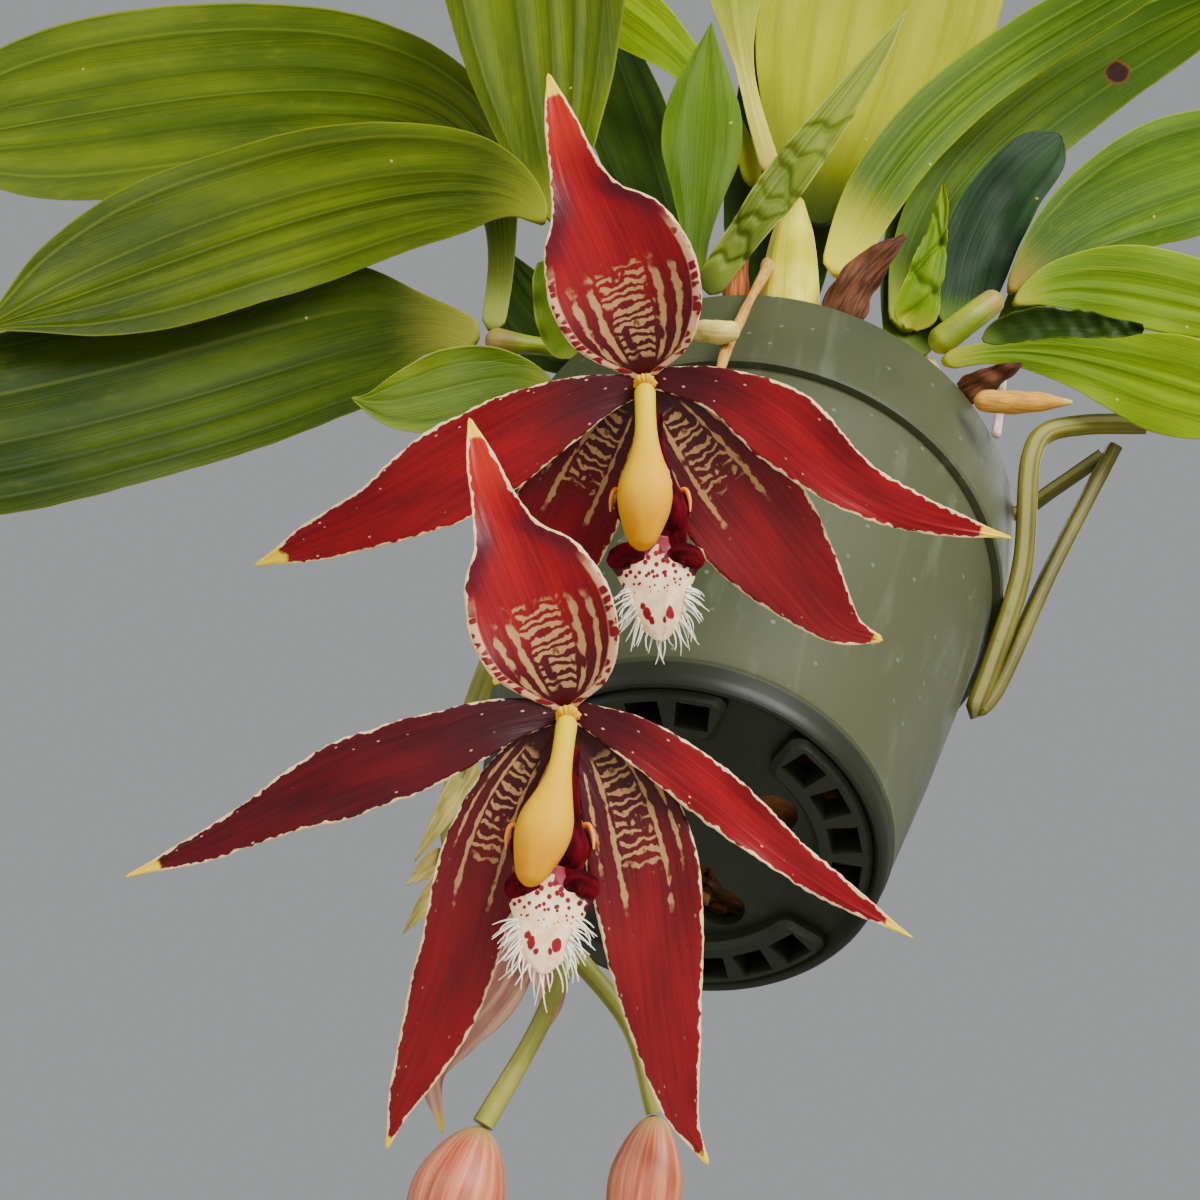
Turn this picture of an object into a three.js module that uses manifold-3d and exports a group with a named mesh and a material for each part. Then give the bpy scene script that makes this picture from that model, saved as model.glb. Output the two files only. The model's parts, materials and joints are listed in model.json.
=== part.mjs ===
// A Paphinia orchid in a round plastic pot with a wire clip, in millimetres, +Z up.
// The row's origin is the point on the wire clip that the pot hangs by. All sizes below are written from the
// centre of the pot's underside, and each piece is moved to the clip's point as it is placed. The flowers
// hang on the -Y side, below the rim, and face down and forward. The leaves lean out over the rim at -X, -Y
// and +X.
import * as THREE from "three";
import { mergeVertices } from "three/addons/utils/BufferGeometryUtils.js";
import Module from "manifold-3d";

const wasm = await Module();
wasm.setup();

// Driving dimensions of the pot.
const RIM_RADIUS = 55;
const POT_HEIGHT = 104;
const BAND_HEIGHT = 24.7;
const BAND_FOOT_RADIUS = 52.6;
const WALL_TOP_RADIUS = 50.4;
const FOOT_RADIUS = 35.3;
const WALL = 2;
const FLOOR_UNDER = 3;
const FLOOR_TOP = 5;
const MIX_TOP = 97;
const FIRST_PAD_ANGLE = 53;
const PAD_INNER = 23;
const PAD_OUTER = 32.6;

// The point on the clip that the pot hangs by, measured from the centre of the pot's underside.
const HANG_POINT = [66, -50, 111];

// Gap kept between pieces that touch on the real plant, and the thinnest a blade is made.
const GAP = 0.35;
const BLADE = 0.8;
const TEPAL = 0.9;

const COLOURS = {
  pot_plastic: ["#2d3f38", 0.45],
  bark: ["#8a5f3c", 0.95],
  hanger_green: ["#6d7335", 0.6],
  leaf_green: ["#55791f", 0.5],
  leaf_dark: ["#274a24", 0.5],
  leaf_bright: ["#94b51d", 0.5],
  bulb_cream: ["#c9c566", 0.5],
  stalk_green: ["#8fa046", 0.5],
  sheath_brown: ["#7a4a30", 0.8],
  root_tan: ["#c9995a", 0.75],
  tepal_red: ["#8d1320", 0.4],
  column_yellow: ["#f4c21a", 0.35],
  lip_red: ["#5c0a18", 0.45],
  lip_cream: ["#f2d9c6", 0.5],
  bud_pink: ["#c98a77", 0.5],
};

const plant = new THREE.Group();
const vec = (p) => new THREE.Vector3(...p);
const rad = (degrees) => (degrees * Math.PI) / 180;

// Solids: a closed geometry becomes a solid that can be joined and cut, and back again.

function solidOf(geometry) {
  const bare = geometry.index ? geometry : mergeVertices(geometry);
  bare.deleteAttribute("normal");
  bare.deleteAttribute("uv");
  const merged = mergeVertices(bare, 1e-4);
  const spots = merged.attributes.position.array;
  const faces = dropFlat(Array.from(merged.index.array));
  const flipped = volumeOf(spots, faces) < 0;
  const turned = flipped ? faces.map((_, k) => faces[k - (k % 3) + [0, 2, 1][k % 3]]) : faces;
  const mesh = new wasm.Mesh({
    numProp: 3,
    vertProperties: Float32Array.from(spots),
    triVerts: Uint32Array.from(turned),
  });
  return new wasm.Manifold(mesh);
}

function dropFlat(faces) {
  const kept = [];
  for (let k = 0; k < faces.length; k += 3) {
    const [a, b, c] = faces.slice(k, k + 3);
    if (a !== b && b !== c && a !== c) {
      kept.push(a, b, c);
    }
  }
  return kept;
}

function volumeOf(spots, faces) {
  const corner = (i) => new THREE.Vector3().fromArray(spots, i * 3);
  let sum = 0;
  for (let k = 0; k < faces.length; k += 3) {
    const [a, b, c] = faces.slice(k, k + 3).map(corner);
    sum += a.dot(b.cross(c)) / 6;
  }
  return sum;
}

function join(solids) {
  return solids.reduce((whole, next) => whole.add(next));
}

function cut(solid, cutters) {
  return cutters.reduce((left, cutter) => left.subtract(cutter), solid);
}

// Only the largest piece of a solid is kept, so a scrap left by a cut is dropped.
function largest(solid) {
  const pieces = solid.decompose();
  return pieces.reduce((best, next) => (next.volume() > best.volume() ? next : best));
}

function place(name, slot, solid) {
  const mesh = largest(solid).getMesh();
  const geometry = new THREE.BufferGeometry();
  geometry.setAttribute("position", new THREE.BufferAttribute(new Float32Array(mesh.vertProperties), 3));
  geometry.setIndex(new THREE.BufferAttribute(new Uint32Array(mesh.triVerts), 1));
  geometry.translate(...HANG_POINT.map((size) => -size));
  const [color, roughness] = COLOURS[slot];
  const piece = new THREE.Mesh(geometry, new THREE.MeshStandardMaterial({ color, roughness, metalness: 0 }));
  piece.name = name;
  plant.add(piece);
}

// Loft: rings of equal count become one closed body. Ring point j faces point count-1-j across the section,
// and both sides of the section are split into triangles alike.
function loft(rings) {
  const count = rings[0].length;
  const last = (rings.length - 1) * count;
  const faces = [];
  for (let i = 0; i < rings.length - 1; i += 1) {
    for (let j = 0; j < count; j += 1) {
      const a = i * count + j;
      const b = i * count + ((j + 1) % count);
      const [c, d] = [a + count, b + count];
      const far = j >= count / 2;
      faces.push(...(far ? [a, b, c, b, d, c] : [a, b, d, a, d, c]));
    }
  }
  for (let j = 0; j < count / 2 - 1; j += 1) {
    const k = count - 1 - j;
    faces.push(j, k, k - 1, j, k - 1, j + 1);
    faces.push(last + j, last + k - 1, last + k, last + j, last + j + 1, last + k - 1);
  }
  const geometry = new THREE.BufferGeometry();
  const spots = rings.flat().flatMap((p) => [p.x, p.y, p.z]);
  geometry.setAttribute("position", new THREE.BufferAttribute(new Float32Array(spots), 3));
  geometry.setIndex(faces);
  return solidOf(geometry);
}

// A value between evenly spaced stations, smoothly joined.
function between(stations, t) {
  const last = stations.length - 1;
  const i = Math.floor(Math.min(t, 0.9999) * last);
  const ease = t * last - i;
  const [p, a, b, q] = [-1, 0, 1, 2].map((step) => stations[Math.min(Math.max(i + step, 0), last)]);
  const smooth = a + 0.5 * ease * (b - p + ease * (2 * p - 5 * a + 4 * b - q + ease * (3 * (a - b) + q - p)));
  return Math.max(smooth, 0.02);
}

// Blade: a thin leaf or tepal along a curve. Its outline is half widths from base to tip, its front faces the
// way given, and it can be cupped, pleated between keels, twisted, and waved along the margins.
function blade(curve, spec) {
  const { half, outline, front, steps = 8, across = 4, thick = BLADE, butt = thick } = spec;
  const { cup = 0, pleat = 0, wave = 0, waves = 3, twist = 0 } = spec;
  const rings = [];
  for (let i = 0; i <= steps; i += 1) {
    const t = i / steps;
    const middle = curve.getPointAt(t);
    const along = curve.getTangentAt(t);
    const up = vec(front).addScaledVector(along, -vec(front).dot(along)).normalize();
    up.applyAxisAngle(along, rad(twist * t));
    const side = new THREE.Vector3().crossVectors(along, up);
    const width = half * between(outline, t);
    const body = thick + (butt - thick) * Math.exp(-t * 9);
    const row = [];
    for (let j = 0; j <= across; j += 1) {
      const s = (2 * j) / across - 1;
      const fold = (j % 2 ? pleat : -pleat) * Math.min(1, width / half);
      const ripple = wave * s * s * Math.sin(2 * Math.PI * waves * t + (s > 0 ? 0 : 2));
      const lift = cup * width * s * s + fold + ripple * Math.sin(Math.PI * t);
      row.push({ flat: middle.clone().addScaledVector(side, s * width), lift });
    }
    const sheet = (offset) => row.map((p) => p.flat.clone().addScaledVector(up, p.lift + offset));
    rings.push([...sheet(body / 2), ...sheet(-body / 2).reverse()]);
  }
  return loft(rings);
}

// Rod: a round stem along points, with a radius from base to tip. grow makes it fatter, to cut with.
function rod(points, radii, { sides = 6, steps = 4 * (points.length - 1), grow = 0, ribs = 0 } = {}) {
  const curve = new THREE.CatmullRomCurve3(points.map(vec));
  const frames = curve.computeFrenetFrames(steps);
  const rings = [];
  for (let i = 0; i <= steps; i += 1) {
    const t = i / steps;
    const reach = i === 0 ? -grow : i === steps ? grow : 0;
    const middle = curve.getPointAt(t).addScaledVector(frames.tangents[i], reach);
    const radius = between(radii, t) + grow;
    const ring = [];
    for (let j = 0; j < sides; j += 1) {
      const angle = (2 * Math.PI * j) / sides;
      const bulge = radius * (1 + (j % 2 ? ribs : -ribs));
      const spot = middle.clone().addScaledVector(frames.normals[i], Math.cos(angle) * bulge);
      ring.push(spot.addScaledVector(frames.binormals[i], Math.sin(angle) * bulge));
    }
    rings.push(ring);
  }
  return loft(rings);
}

function lathe(profile, segments) {
  const geometry = new THREE.LatheGeometry(profile.map(([r, z]) => new THREE.Vector2(r, z)), segments);
  return solidOf(geometry.rotateX(Math.PI / 2));
}

// Pot: lathed shell with a deep rim band, and a recessed floor that stands on four kidney-shaped pads.

function ringSector(inner, outer, from, to, bottom, top) {
  const corner = 2;
  const slack = (radius) => (corner / radius) * (180 / Math.PI);
  const shape = new THREE.Shape();
  shape.absarc(0, 0, outer, rad(from + slack(outer)), rad(to - slack(outer)), false);
  shape.lineTo((outer - corner) * Math.cos(rad(to)), (outer - corner) * Math.sin(rad(to)));
  shape.lineTo((inner + corner) * Math.cos(rad(to)), (inner + corner) * Math.sin(rad(to)));
  shape.absarc(0, 0, inner, rad(to - slack(inner)), rad(from + slack(inner)), true);
  shape.lineTo((inner + corner) * Math.cos(rad(from)), (inner + corner) * Math.sin(rad(from)));
  shape.lineTo((outer - corner) * Math.cos(rad(from)), (outer - corner) * Math.sin(rad(from)));
  const build = { depth: top - bottom, bevelEnabled: false, curveSegments: 6 };
  return solidOf(new THREE.ExtrudeGeometry(shape, build).translate(0, 0, bottom));
}

function slot(radius, angle, deep, wide) {
  const box = new THREE.BoxGeometry(deep, wide, 3 * FLOOR_TOP);
  return solidOf(box.translate(radius, 0, 0).rotateZ(rad(angle)));
}

function keyhole(angle) {
  const deep = 3 * FLOOR_TOP;
  const eye = new THREE.CylinderGeometry(4.2, 4.2, deep, 10).rotateX(Math.PI / 2).translate(17, 0, 0);
  const stem = new THREE.CylinderGeometry(2, 2, deep, 8).rotateX(Math.PI / 2).translate(9, 0, 0);
  const neck = new THREE.BoxGeometry(8, 4, deep).translate(13, 0, 0);
  return join([eye, stem, neck].map((piece) => solidOf(piece.rotateZ(rad(angle)))));
}

function makePot() {
  const shell = lathe([
    [0, FLOOR_UNDER],
    [31.8, FLOOR_UNDER],
    [33.4, 0.4],
    [34.4, 0.4],
    [FOOT_RADIUS, 3.7],
    [WALL_TOP_RADIUS, POT_HEIGHT - BAND_HEIGHT + 0.6],
    [BAND_FOOT_RADIUS, POT_HEIGHT - BAND_HEIGHT],
    [RIM_RADIUS - 0.3, POT_HEIGHT - 0.6],
    [RIM_RADIUS - 0.8, POT_HEIGHT],
    [RIM_RADIUS - WALL, POT_HEIGHT],
    [BAND_FOOT_RADIUS - WALL, POT_HEIGHT - BAND_HEIGHT + WALL],
    [WALL_TOP_RADIUS - WALL, POT_HEIGHT - BAND_HEIGHT],
    [FOOT_RADIUS - WALL, FLOOR_TOP],
    [0, FLOOR_TOP],
  ], 36);
  const pads = [];
  const holes = [];
  for (let k = 0; k < 4; k += 1) {
    const middle = FIRST_PAD_ANGLE + 90 * k;
    pads.push(ringSector(PAD_INNER, PAD_OUTER, middle - 34, middle + 34, 0, FLOOR_UNDER + 1));
    for (const step of [-24, -8, 8, 24]) {
      holes.push(slot(28.3, middle + step, 4.6, 5));
    }
    holes.push(keyhole(middle - 5));
  }
  place("pot", "pot_plastic", cut(join([shell, ...pads]), holes));
}

// Pseudobulbs and shoot stalks: each is kept as a fatter cutter too, so that what touches it keeps a gap.

const BULB_OUTLINE = [0.55, 0.9, 1, 0.92, 0.7, 0.3];
const BULBS = {
  bulb_left: { points: [[-35, -9, 92], [-40, -13, 103], [-47, -18, 116]], fat: 6.5 },
  bulb_middle: { points: [[-26, -29, 92], [-27, -32, 102], [-29, -36, 113]], fat: 5.5 },
  bulb_front: { points: [[-5, -40, 92], [-9, -46, 109], [-16, -61, 135]], fat: 6.3 },
  bulb_right: { points: [[17, -38, 92], [19, -41, 102], [21, -46, 114]], fat: 6.5 },
  bulb_back: { points: [[4, 12, 92], [4, 14, 104], [5, 17, 124]], fat: 9 },
};
const STALKS = {
  stalk_left: { points: [[-48, -19, 119], [-56, -17, 118], [-67, -16, 114]], radii: [2.2, 2, 3.2] },
  stalk_right: { points: [[20, -50, 111], [25, -56, 116], [30, -61, 122]], radii: [3, 2.9, 2.6] },
};

const cutters = [];
function makeStems() {
  for (const [name, { points, fat }] of Object.entries(BULBS)) {
    const radii = BULB_OUTLINE.map((share) => share * fat);
    place(name, "bulb_cream", cut(rod(points, radii, { sides: 12, steps: 8 }), cutters));
    cutters.push(rod(points, radii, { sides: 12, steps: 8, grow: GAP }));
  }
  for (const [name, { points, radii }] of Object.entries(STALKS)) {
    place(name, "stalk_green", cut(rod(points, radii, { steps: 5 }), cutters));
    cutters.push(rod(points, radii, { steps: 5, grow: GAP }));
  }
}

// Leaves: root, the way it rises, the way it bends over, and tip, as the four points of one curve.

const UNDERSIDE = [0, -0.6, -0.8];
const STRAP = [0.14, 0.16, 0.5, 0.9, 1, 0.7, 0.03];
const LEAVES = {
  leaf_left_high: {
    line: [[-68, -17, 117], [-82, -63, 195], [-150, -25, 171], [-207, -11, 110]],
    half: 21.5, outline: [0.12, 0.2, 0.6, 0.9, 1, 0.8, 0.03], across: 6, steps: 10,
  },
  leaf_left_mid: {
    line: [[-64, -44, 119], [-81, -50, 142], [-130, -18, 124], [-159, -8, 64]],
    half: 16.8, outline: [0.12, 0.65, 0.9, 1, 0.95, 0.65, 0.03], across: 6, steps: 10,
  },
  leaf_left_low: {
    line: [[-70, -16, 112], [-94.5, -14.6, 126], [-121.3, 17.5, 100.8], [-184, 9.6, 23]],
    half: 18.4, across: 6, steps: 12,
    outline: [0.2, 0.36, 0.82, 0.93, 0.98, 1, 1, 1, 0.98, 0.92, 0.78, 0.48, 0.03],
  },
  leaf_left_small: {
    line: [[-51, -13, 107], [-62, -18, 107], [-75, -9, 83], [-87, -13, 79]],
    half: 9, outline: [0.25, 0.6, 0.9, 1, 0.85, 0.55, 0.03],
  },
  leaf_left_stub: {
    line: [[-49, -21, 111], [-53, -26, 111], [-57, -33, 112], [-60, -39, 114]],
    half: 5.2, outline: [0.7, 0.9, 1, 1, 0.9, 0.8, 0.5], steps: 6, cup: 0.3,
  },
  leaf_top_left: {
    line: [[-60, -44, 121], [-70, -48, 142], [-90, -72, 190], [-112, -128, 196]],
    half: 20.5, outline: [0.12, 0.48, 0.8, 1, 0.92, 0.6, 0.03], across: 6, steps: 10,
  },
  leaf_top_yellow: {
    line: [[-25, -56, 146], [-37, -73, 165], [-80, -71, 197], [-115, -77, 183]],
    half: 9, outline: [0.25, 0.27, 0.5, 0.85, 1, 0.7, 0.04], butt: 2.4,
  },
  leaf_top_stalked: {
    line: [[-22, -61, 143], [-41, -77, 170], [-41, -74, 194], [-59, -108, 208]],
    half: 9, outline: [0.25, 0.22, 0.24, 0.5, 0.95, 0.8, 0.04], butt: 2.4,
  },
  leaf_back_wide: {
    line: [[-10, -52, 146], [-10, -55, 182], [-6, -76, 240], [-24, -140, 262]],
    half: 29, outline: [0.1, 0.55, 0.85, 1, 0.95, 0.65, 0.03], across: 6, steps: 10,
  },
  leaf_shrivelled: {
    line: [[-27, -47, 108], [-23, -66, 109], [-11, -84, 142], [-7, -98, 159]],
    half: 4.4, outline: [0.7, 0.8, 1, 0.9, 0.7, 0.45, 0.05], steps: 14, pleat: 0.5, cup: 0.25,
  },
  leaf_lance: {
    line: [[-30, -44, 112], [-34, -57, 124], [-42, -72, 145], [-45, -82, 159]],
    half: 8.4, outline: [0.3, 0.7, 1, 0.95, 0.7, 0.4, 0.04],
  },
  leaf_dark_tall: {
    line: [[-31, -38, 121], [-49, -47, 161], [-65, -47, 192], [-89, -74, 221]],
    half: 9.5, outline: [0.3, 0.6, 0.9, 1, 0.85, 0.55, 0.04], slot: "leaf_dark",
  },
  leaf_dark_side: {
    line: [[-38, -33, 114], [-45, -18, 125], [-61, -8, 128], [-75, -25, 143]],
    half: 9.5, outline: [0.3, 0.6, 0.9, 1, 0.85, 0.55, 0.04], slot: "leaf_dark",
  },
  leaf_right_big: {
    line: [[-2, -56, 119], [-3, -81, 167], [33, -103, 185], [54, -132, 184]],
    half: 6.6, outline: [0.62, 0.92, 1, 1, 0.95, 0.75, 0.04], across: 6, steps: 10, butt: 1.6,
  },
  leaf_right_spot: {
    line: [[15, -46, 124], [9, -66, 182], [50, -94, 207], [70, -123, 199]],
    half: 10.5, outline: [0.35, 0.7, 0.95, 1, 0.9, 0.65, 0.04],
  },
  leaf_dark_middle: {
    line: [[-9, -33, 124], [-14, -34, 160], [-18, -42, 200], [-38, -60, 236]],
    half: 13, outline: [0.4, 0.7, 0.95, 1, 0.85, 0.55, 0.04], slot: "leaf_dark",
  },
  leaf_dark_right: {
    line: [[17, -42, 120], [14, -52, 152], [20, -70, 190], [32, -100, 210]],
    half: 11.5, outline: [0.4, 0.75, 1, 1, 0.85, 0.55, 0.04], slot: "leaf_dark",
  },
  leaf_right_dark: {
    line: [[25, -50, 123], [22, -63, 138], [24, -71, 150], [34, -82, 164]],
    half: 8, outline: [0.5, 0.85, 1, 1, 0.9, 0.8, 0.5], slot: "leaf_dark", steps: 8,
  },
  leaf_crumpled: {
    line: [[14, -54, 108], [13, -62, 110], [14, -70, 121], [11, -76, 129]],
    half: 4.5, outline: [0.9, 1, 0.8, 0.7, 0.45, 0.3, 0.06], pleat: 0.4, cup: 0.3, slot: "leaf_bright",
  },
  leaf_fan_upper: {
    line: [[32, -61, 125], [40, -79, 145], [65, -90, 162], [95, -108, 152]],
    half: 13, outline: [0.12, 0.5, 0.8, 1, 0.9, 0.6, 0.04], slot: "leaf_bright",
  },
  leaf_fan_middle: {
    line: [[33, -61, 120], [42, -72, 131], [73, -73, 125], [89, -78, 115]],
    half: 8.5, outline: [0.15, 0.6, 0.9, 1, 0.85, 0.55, 0.04], slot: "leaf_bright",
  },
  leaf_fan_lower: {
    line: [[23, -49, 109], [44, -60, 121.4], [70, -57.6, 108.3], [84.3, -71.1, 92.4]],
    half: 10.2, outline: [0.2, 0.25, 0.5, 0.8, 1, 0.75, 0.04], slot: "leaf_bright",
  },
  leaf_curled: {
    line: [[28, -58, 105.5], [35, -67, 105.5], [43, -67, 104.5], [55, -72, 103.5]],
    half: 3.2, outline: [0.5, 0.9, 1, 0.9, 0.8, 0.6, 0.3], cup: 0.5, slot: "leaf_dark",
  },
  leaf_fan_behind: {
    line: [[34, -48, 128], [45, -60, 160], [46, -68, 186], [74, -84, 196]],
    half: 7, outline: [0.25, 0.55, 0.9, 1, 0.85, 0.6, 0.04], slot: "leaf_bright",
  },
};

function makeLeaf(name, spec) {
  const { line, slot: colour = "leaf_green", front = UNDERSIDE } = spec;
  const curve = new THREE.CubicBezierCurve3(...line.map(vec));
  const shape = { pleat: 0.35, cup: 0.08, wave: 0.7, butt: 1.8, ...spec, front };
  place(name, colour, cut(blade(curve, shape), cutters));
}

// The leaves of the back bulb, which the photo can't show: the same strap leaf, turned round the bulb.
const BACK_LEAVES = { azimuths: [40, 95, 150], reach: 88, rise: 105, half: 13 };

function makeLeaves() {
  for (const [name, spec] of Object.entries(LEAVES)) {
    makeLeaf(name, spec);
  }
  BACK_LEAVES.azimuths.forEach((azimuth, k) => {
    const out = [Math.cos(rad(azimuth)), Math.sin(rad(azimuth))];
    const spot = (far, up) => [5 + far * out[0], 17 + far * out[1], 124 + up];
    const { reach, rise, half } = BACK_LEAVES;
    const line = [spot(4.8, 1), spot(8, 0.6 * rise), spot(0.6 * reach, rise), spot(reach, 0.45 * rise)];
    makeLeaf(`leaf_rear_${k + 1}`, { line, half, outline: STRAP, front: [0.25 * out[0], 0.25 * out[1], -1] });
  });
}

// Sheaths, old stem stub and roots.
const TRIMMINGS = {
  stem_stub: {
    slot: "sheath_brown",
    points: [[-19, -44, 99], [-21, -46, 112], [-24, -49, 126]],
    radii: [2.6, 2.8, 2.7],
  },
  root_orange: {
    slot: "root_tan",
    points: [[29.5, -50.2, 94.5], [34, -52, 94.3], [39, -54, 94], [43, -55.8, 93.8], [46.8, -57.4, 93.6]],
    radii: [1.9, 2.3, 2.2, 1.6, 0.4],
  },
  root_pink: {
    slot: "root_tan",
    points: [[36, -49, 115], [36.6, -46.4, 109], [37.4, -42.3, 98.7]],
    radii: [0.8, 0.8, 1],
  },
  root_thin: {
    slot: "root_tan",
    points: [
      [-16.4, -51.5, 120.5], [-17.3, -54.1, 107], [-18.3, -54, 96],
      [-19.1, -53.5, 85], [-19.8, -53.3, 76], [-19.7, -53.3, 65],
    ],
    radii: [1.7, 1.5, 1.1, 1.1, 1.1, 0.9],
  },
  root_club: {
    slot: "root_tan",
    points: [[-18.8, -57.3, 75.5], [-21.6, -56.6, 74], [-25.2, -54.2, 76.2], [-31, -52, 77.5]],
    radii: [1.9, 2.2, 1.9, 1.7],
  },
};
const SHEATH = { half: 4.5, outline: [0.8, 1, 0.9, 0.8, 0.6, 0.4, 0.1], steps: 6, cup: 0.3 };
const SHEATHS = {
  sheath_front: { line: [[0, -50, 107], [0, -58, 110], [3, -64, 114], [7, -68, 118]] },
  sheath_right: { line: [[29, -44, 108], [32, -48, 108], [34, -50, 109], [38, -54, 110]], half: 3 },
};

// Flower stem: over the rim, down in front of the pot and back in under it, with bracts and pedicels on it.
const RACHIS = [
  [-37, -30, 100], [-36.5, -41, 109], [-37, -52, 101], [-36, -57, 80], [-33, -61, 50], [-33, -60, 22],
  [-37, -46, 2], [-39, -34, -14], [-38, -26, -28], [-34, -21, -40], [-24, -20, -47], [-14, -21, -50],
];
const RACHIS_RADII = [2.2, 2.2, 2.2, 2.1, 2.1, 2, 2, 1.9, 1.8, 1.7, 1.6, 1.5];
const SCALE_LEAF = [0.5, 0.9, 1, 0.8, 0.55, 0.3, 0.06];
const BRACT = { half: 2.6, outline: SCALE_LEAF, front: UNDERSIDE, steps: 5, across: 2 };
const BRACTS = [
  [[-36, -27, -27], [-37, -25, -34], [-38, -24, -40], [-39, -22, -45]],
  [[-33, -19, -40], [-35, -18, -46], [-36, -17, -49], [-37, -16, -53]],
  [[-35, -19, -39], [-37, -19, -42], [-38, -19, -44], [-39, -18, -46]],
];

// A frame for each bloom: seat is where the tepals meet, facing points out of the open face, and crown is the
// way the top sepal points. Flower points are right, up and out, as seen by someone facing the bloom.
function bloomFrame({ seat, facing, crown }) {
  const out = vec(facing).normalize();
  const up = vec(crown).addScaledVector(out, -vec(crown).dot(out)).normalize();
  const right = new THREE.Vector3().crossVectors(up, out);
  const world = ([x, y, z]) => {
    const spot = vec(seat).addScaledVector(right, x).addScaledVector(up, y).addScaledVector(out, z);
    return spot.toArray();
  };
  return { out, world };
}

function tepal(frame, { line, half, outline, cup = 0.12, twist = 0, wave = 0.5, steps = 9, across = 4 }) {
  const curve = new THREE.CatmullRomCurve3(line.map((p) => vec(frame.world(p))));
  const front = frame.out.toArray();
  return blade(curve, { half, outline, front, thick: TEPAL, steps, across, cup, twist, wave, waves: 2.5 });
}

const DORSAL = [0.22, 0.85, 0.98, 0.68, 0.36, 0.2, 0.05];
const FLOWERS = {
  flower_1: {
    seat: [-31, -83, 0], facing: [0.02, -0.48, -0.88], crown: [-0.33, -0.83, 0.45],
    tepals: [
      {
        half: 10.6, outline: DORSAL, cup: 0.25,
        line: [[0, 0, 0], [-1, 6, 2], [-4.2, 16, 3], [-9.3, 27, 3], [-13.6, 42, 0]],
      },
      {
        half: 6.9, outline: [0.25, 0.62, 0.92, 0.95, 0.64, 0.42, 0.04],
        line: [
          [-1, -1, 0], [-9, -3.5, 2], [-25, -12, 4],
          [-38, -19.5, 3], [-49, -24, 0], [-57, -27.3, -3],
        ],
      },
      {
        half: 5.3, outline: [0.3, 0.6, 1, 0.85, 0.6, 0.36, 0.04],
        line: [[1, 0, 0], [10, -1.5, 2], [19, -6.5, 4], [28, -14, 4], [38, -19, 2], [53, -23, -2]],
      },
      {
        half: 8.6, outline: [0.35, 0.7, 0.97, 1, 0.78, 0.44, 0.06],
        line: [[1, -1, -1], [7, -9, 0], [14.5, -19, 1], [22, -28.5, 1], [29, -35.8, 0], [34.5, -37.8, -1]],
      },
      {
        half: 7.5, outline: [0.35, 0.72, 0.97, 1, 0.8, 0.5, 0.06],
        line: [
          [-1, -1, -1], [-7, -11, -2], [-12, -21, -3],
          [-16, -31, -3], [-20, -40, -3], [-22, -45, -3],
        ],
      },
    ],
    column: { line: [[0, -1, 2], [0.2, -10, 8], [0, -17, 11], [-0.5, -23.6, 12]], half: 3.6 },
    lipBase: { line: [[0.5, -5, 2.2], [1, -11, 3.6], [1.7, -17, 4.4], [1.8, -24.6, 5.4]], half: 6.8 },
    lip: { line: [[1.8, -25.4, 6], [1.8, -28, 6.6], [2, -32, 7.1], [2.4, -36.8, 7]], half: 6.1 },
  },
  flower_2: {
    seat: [-26, -56, -43], facing: [0, -0.64, -0.77], crown: [-0.33, -0.72, 0.6],
    tepals: [
      {
        half: 9.5, outline: DORSAL, cup: 0.25,
        line: [[0, 0, 0], [-1, 6, 2], [-4.4, 15, 3], [-9, 26, 3], [-12.8, 38.6, 0]],
      },
      {
        half: 4.9, outline: [0.35, 0.72, 1, 0.98, 0.62, 0.38, 0.04],
        line: [
          [-1, 0, 0], [-9, -1.8, 2], [-17, -5, 3], [-26, -8, 3],
          [-35, -11.8, 1], [-44.5, -16.7, 0], [-58, -22, -3],
        ],
      },
      {
        half: 3.5, outline: [0.4, 0.85, 1, 0.95, 0.7, 0.42, 0.04],
        line: [[1, 0, 0], [9.5, -4, 2], [17.4, -9.5, 3], [25.3, -16, 3], [34, -22.7, 1], [46, -30.2, -2]],
      },
      {
        half: 7.3, outline: [0.4, 0.8, 1, 0.9, 0.68, 0.4, 0.05],
        line: [
          [2, -1, -1], [7, -9.5, 0], [10, -20, 1], [11.5, -30.5, 1],
          [13.2, -42.4, 0], [15.4, -53, -1], [18.7, -59.5, -2],
        ],
      },
      {
        half: 5.6, outline: [0.4, 0.75, 1, 0.95, 0.85, 0.5, 0.05],
        line: [
          [-1, -1, -1], [-8, -12, 0], [-11.6, -22.6, 0], [-14.2, -33, 0],
          [-18, -43.7, -1], [-21.5, -51.6, -2], [-23.4, -57.5, -3],
        ],
      },
    ],
    column: { line: [[0.3, -1, 2], [-1, -9, 8], [-3, -16, 11], [-4.8, -22, 12]], half: 3.4 },
    lipBase: { line: [[0.2, -5, 2.2], [0, -10, 3.6], [-0.6, -15, 4.4], [-1.8, -22.6, 5.4]], half: 5.9 },
    lip: { line: [[-1.9, -23.4, 6], [-2.2, -25.6, 6.6], [-2.5, -29, 7.1], [-2.8, -33.4, 7]], half: 5.6 },
  },
};

function ball(centre, radius) {
  const sphere = new THREE.SphereGeometry(radius, 8, 6);
  return solidOf(sphere.translate(...centre));
}

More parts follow.
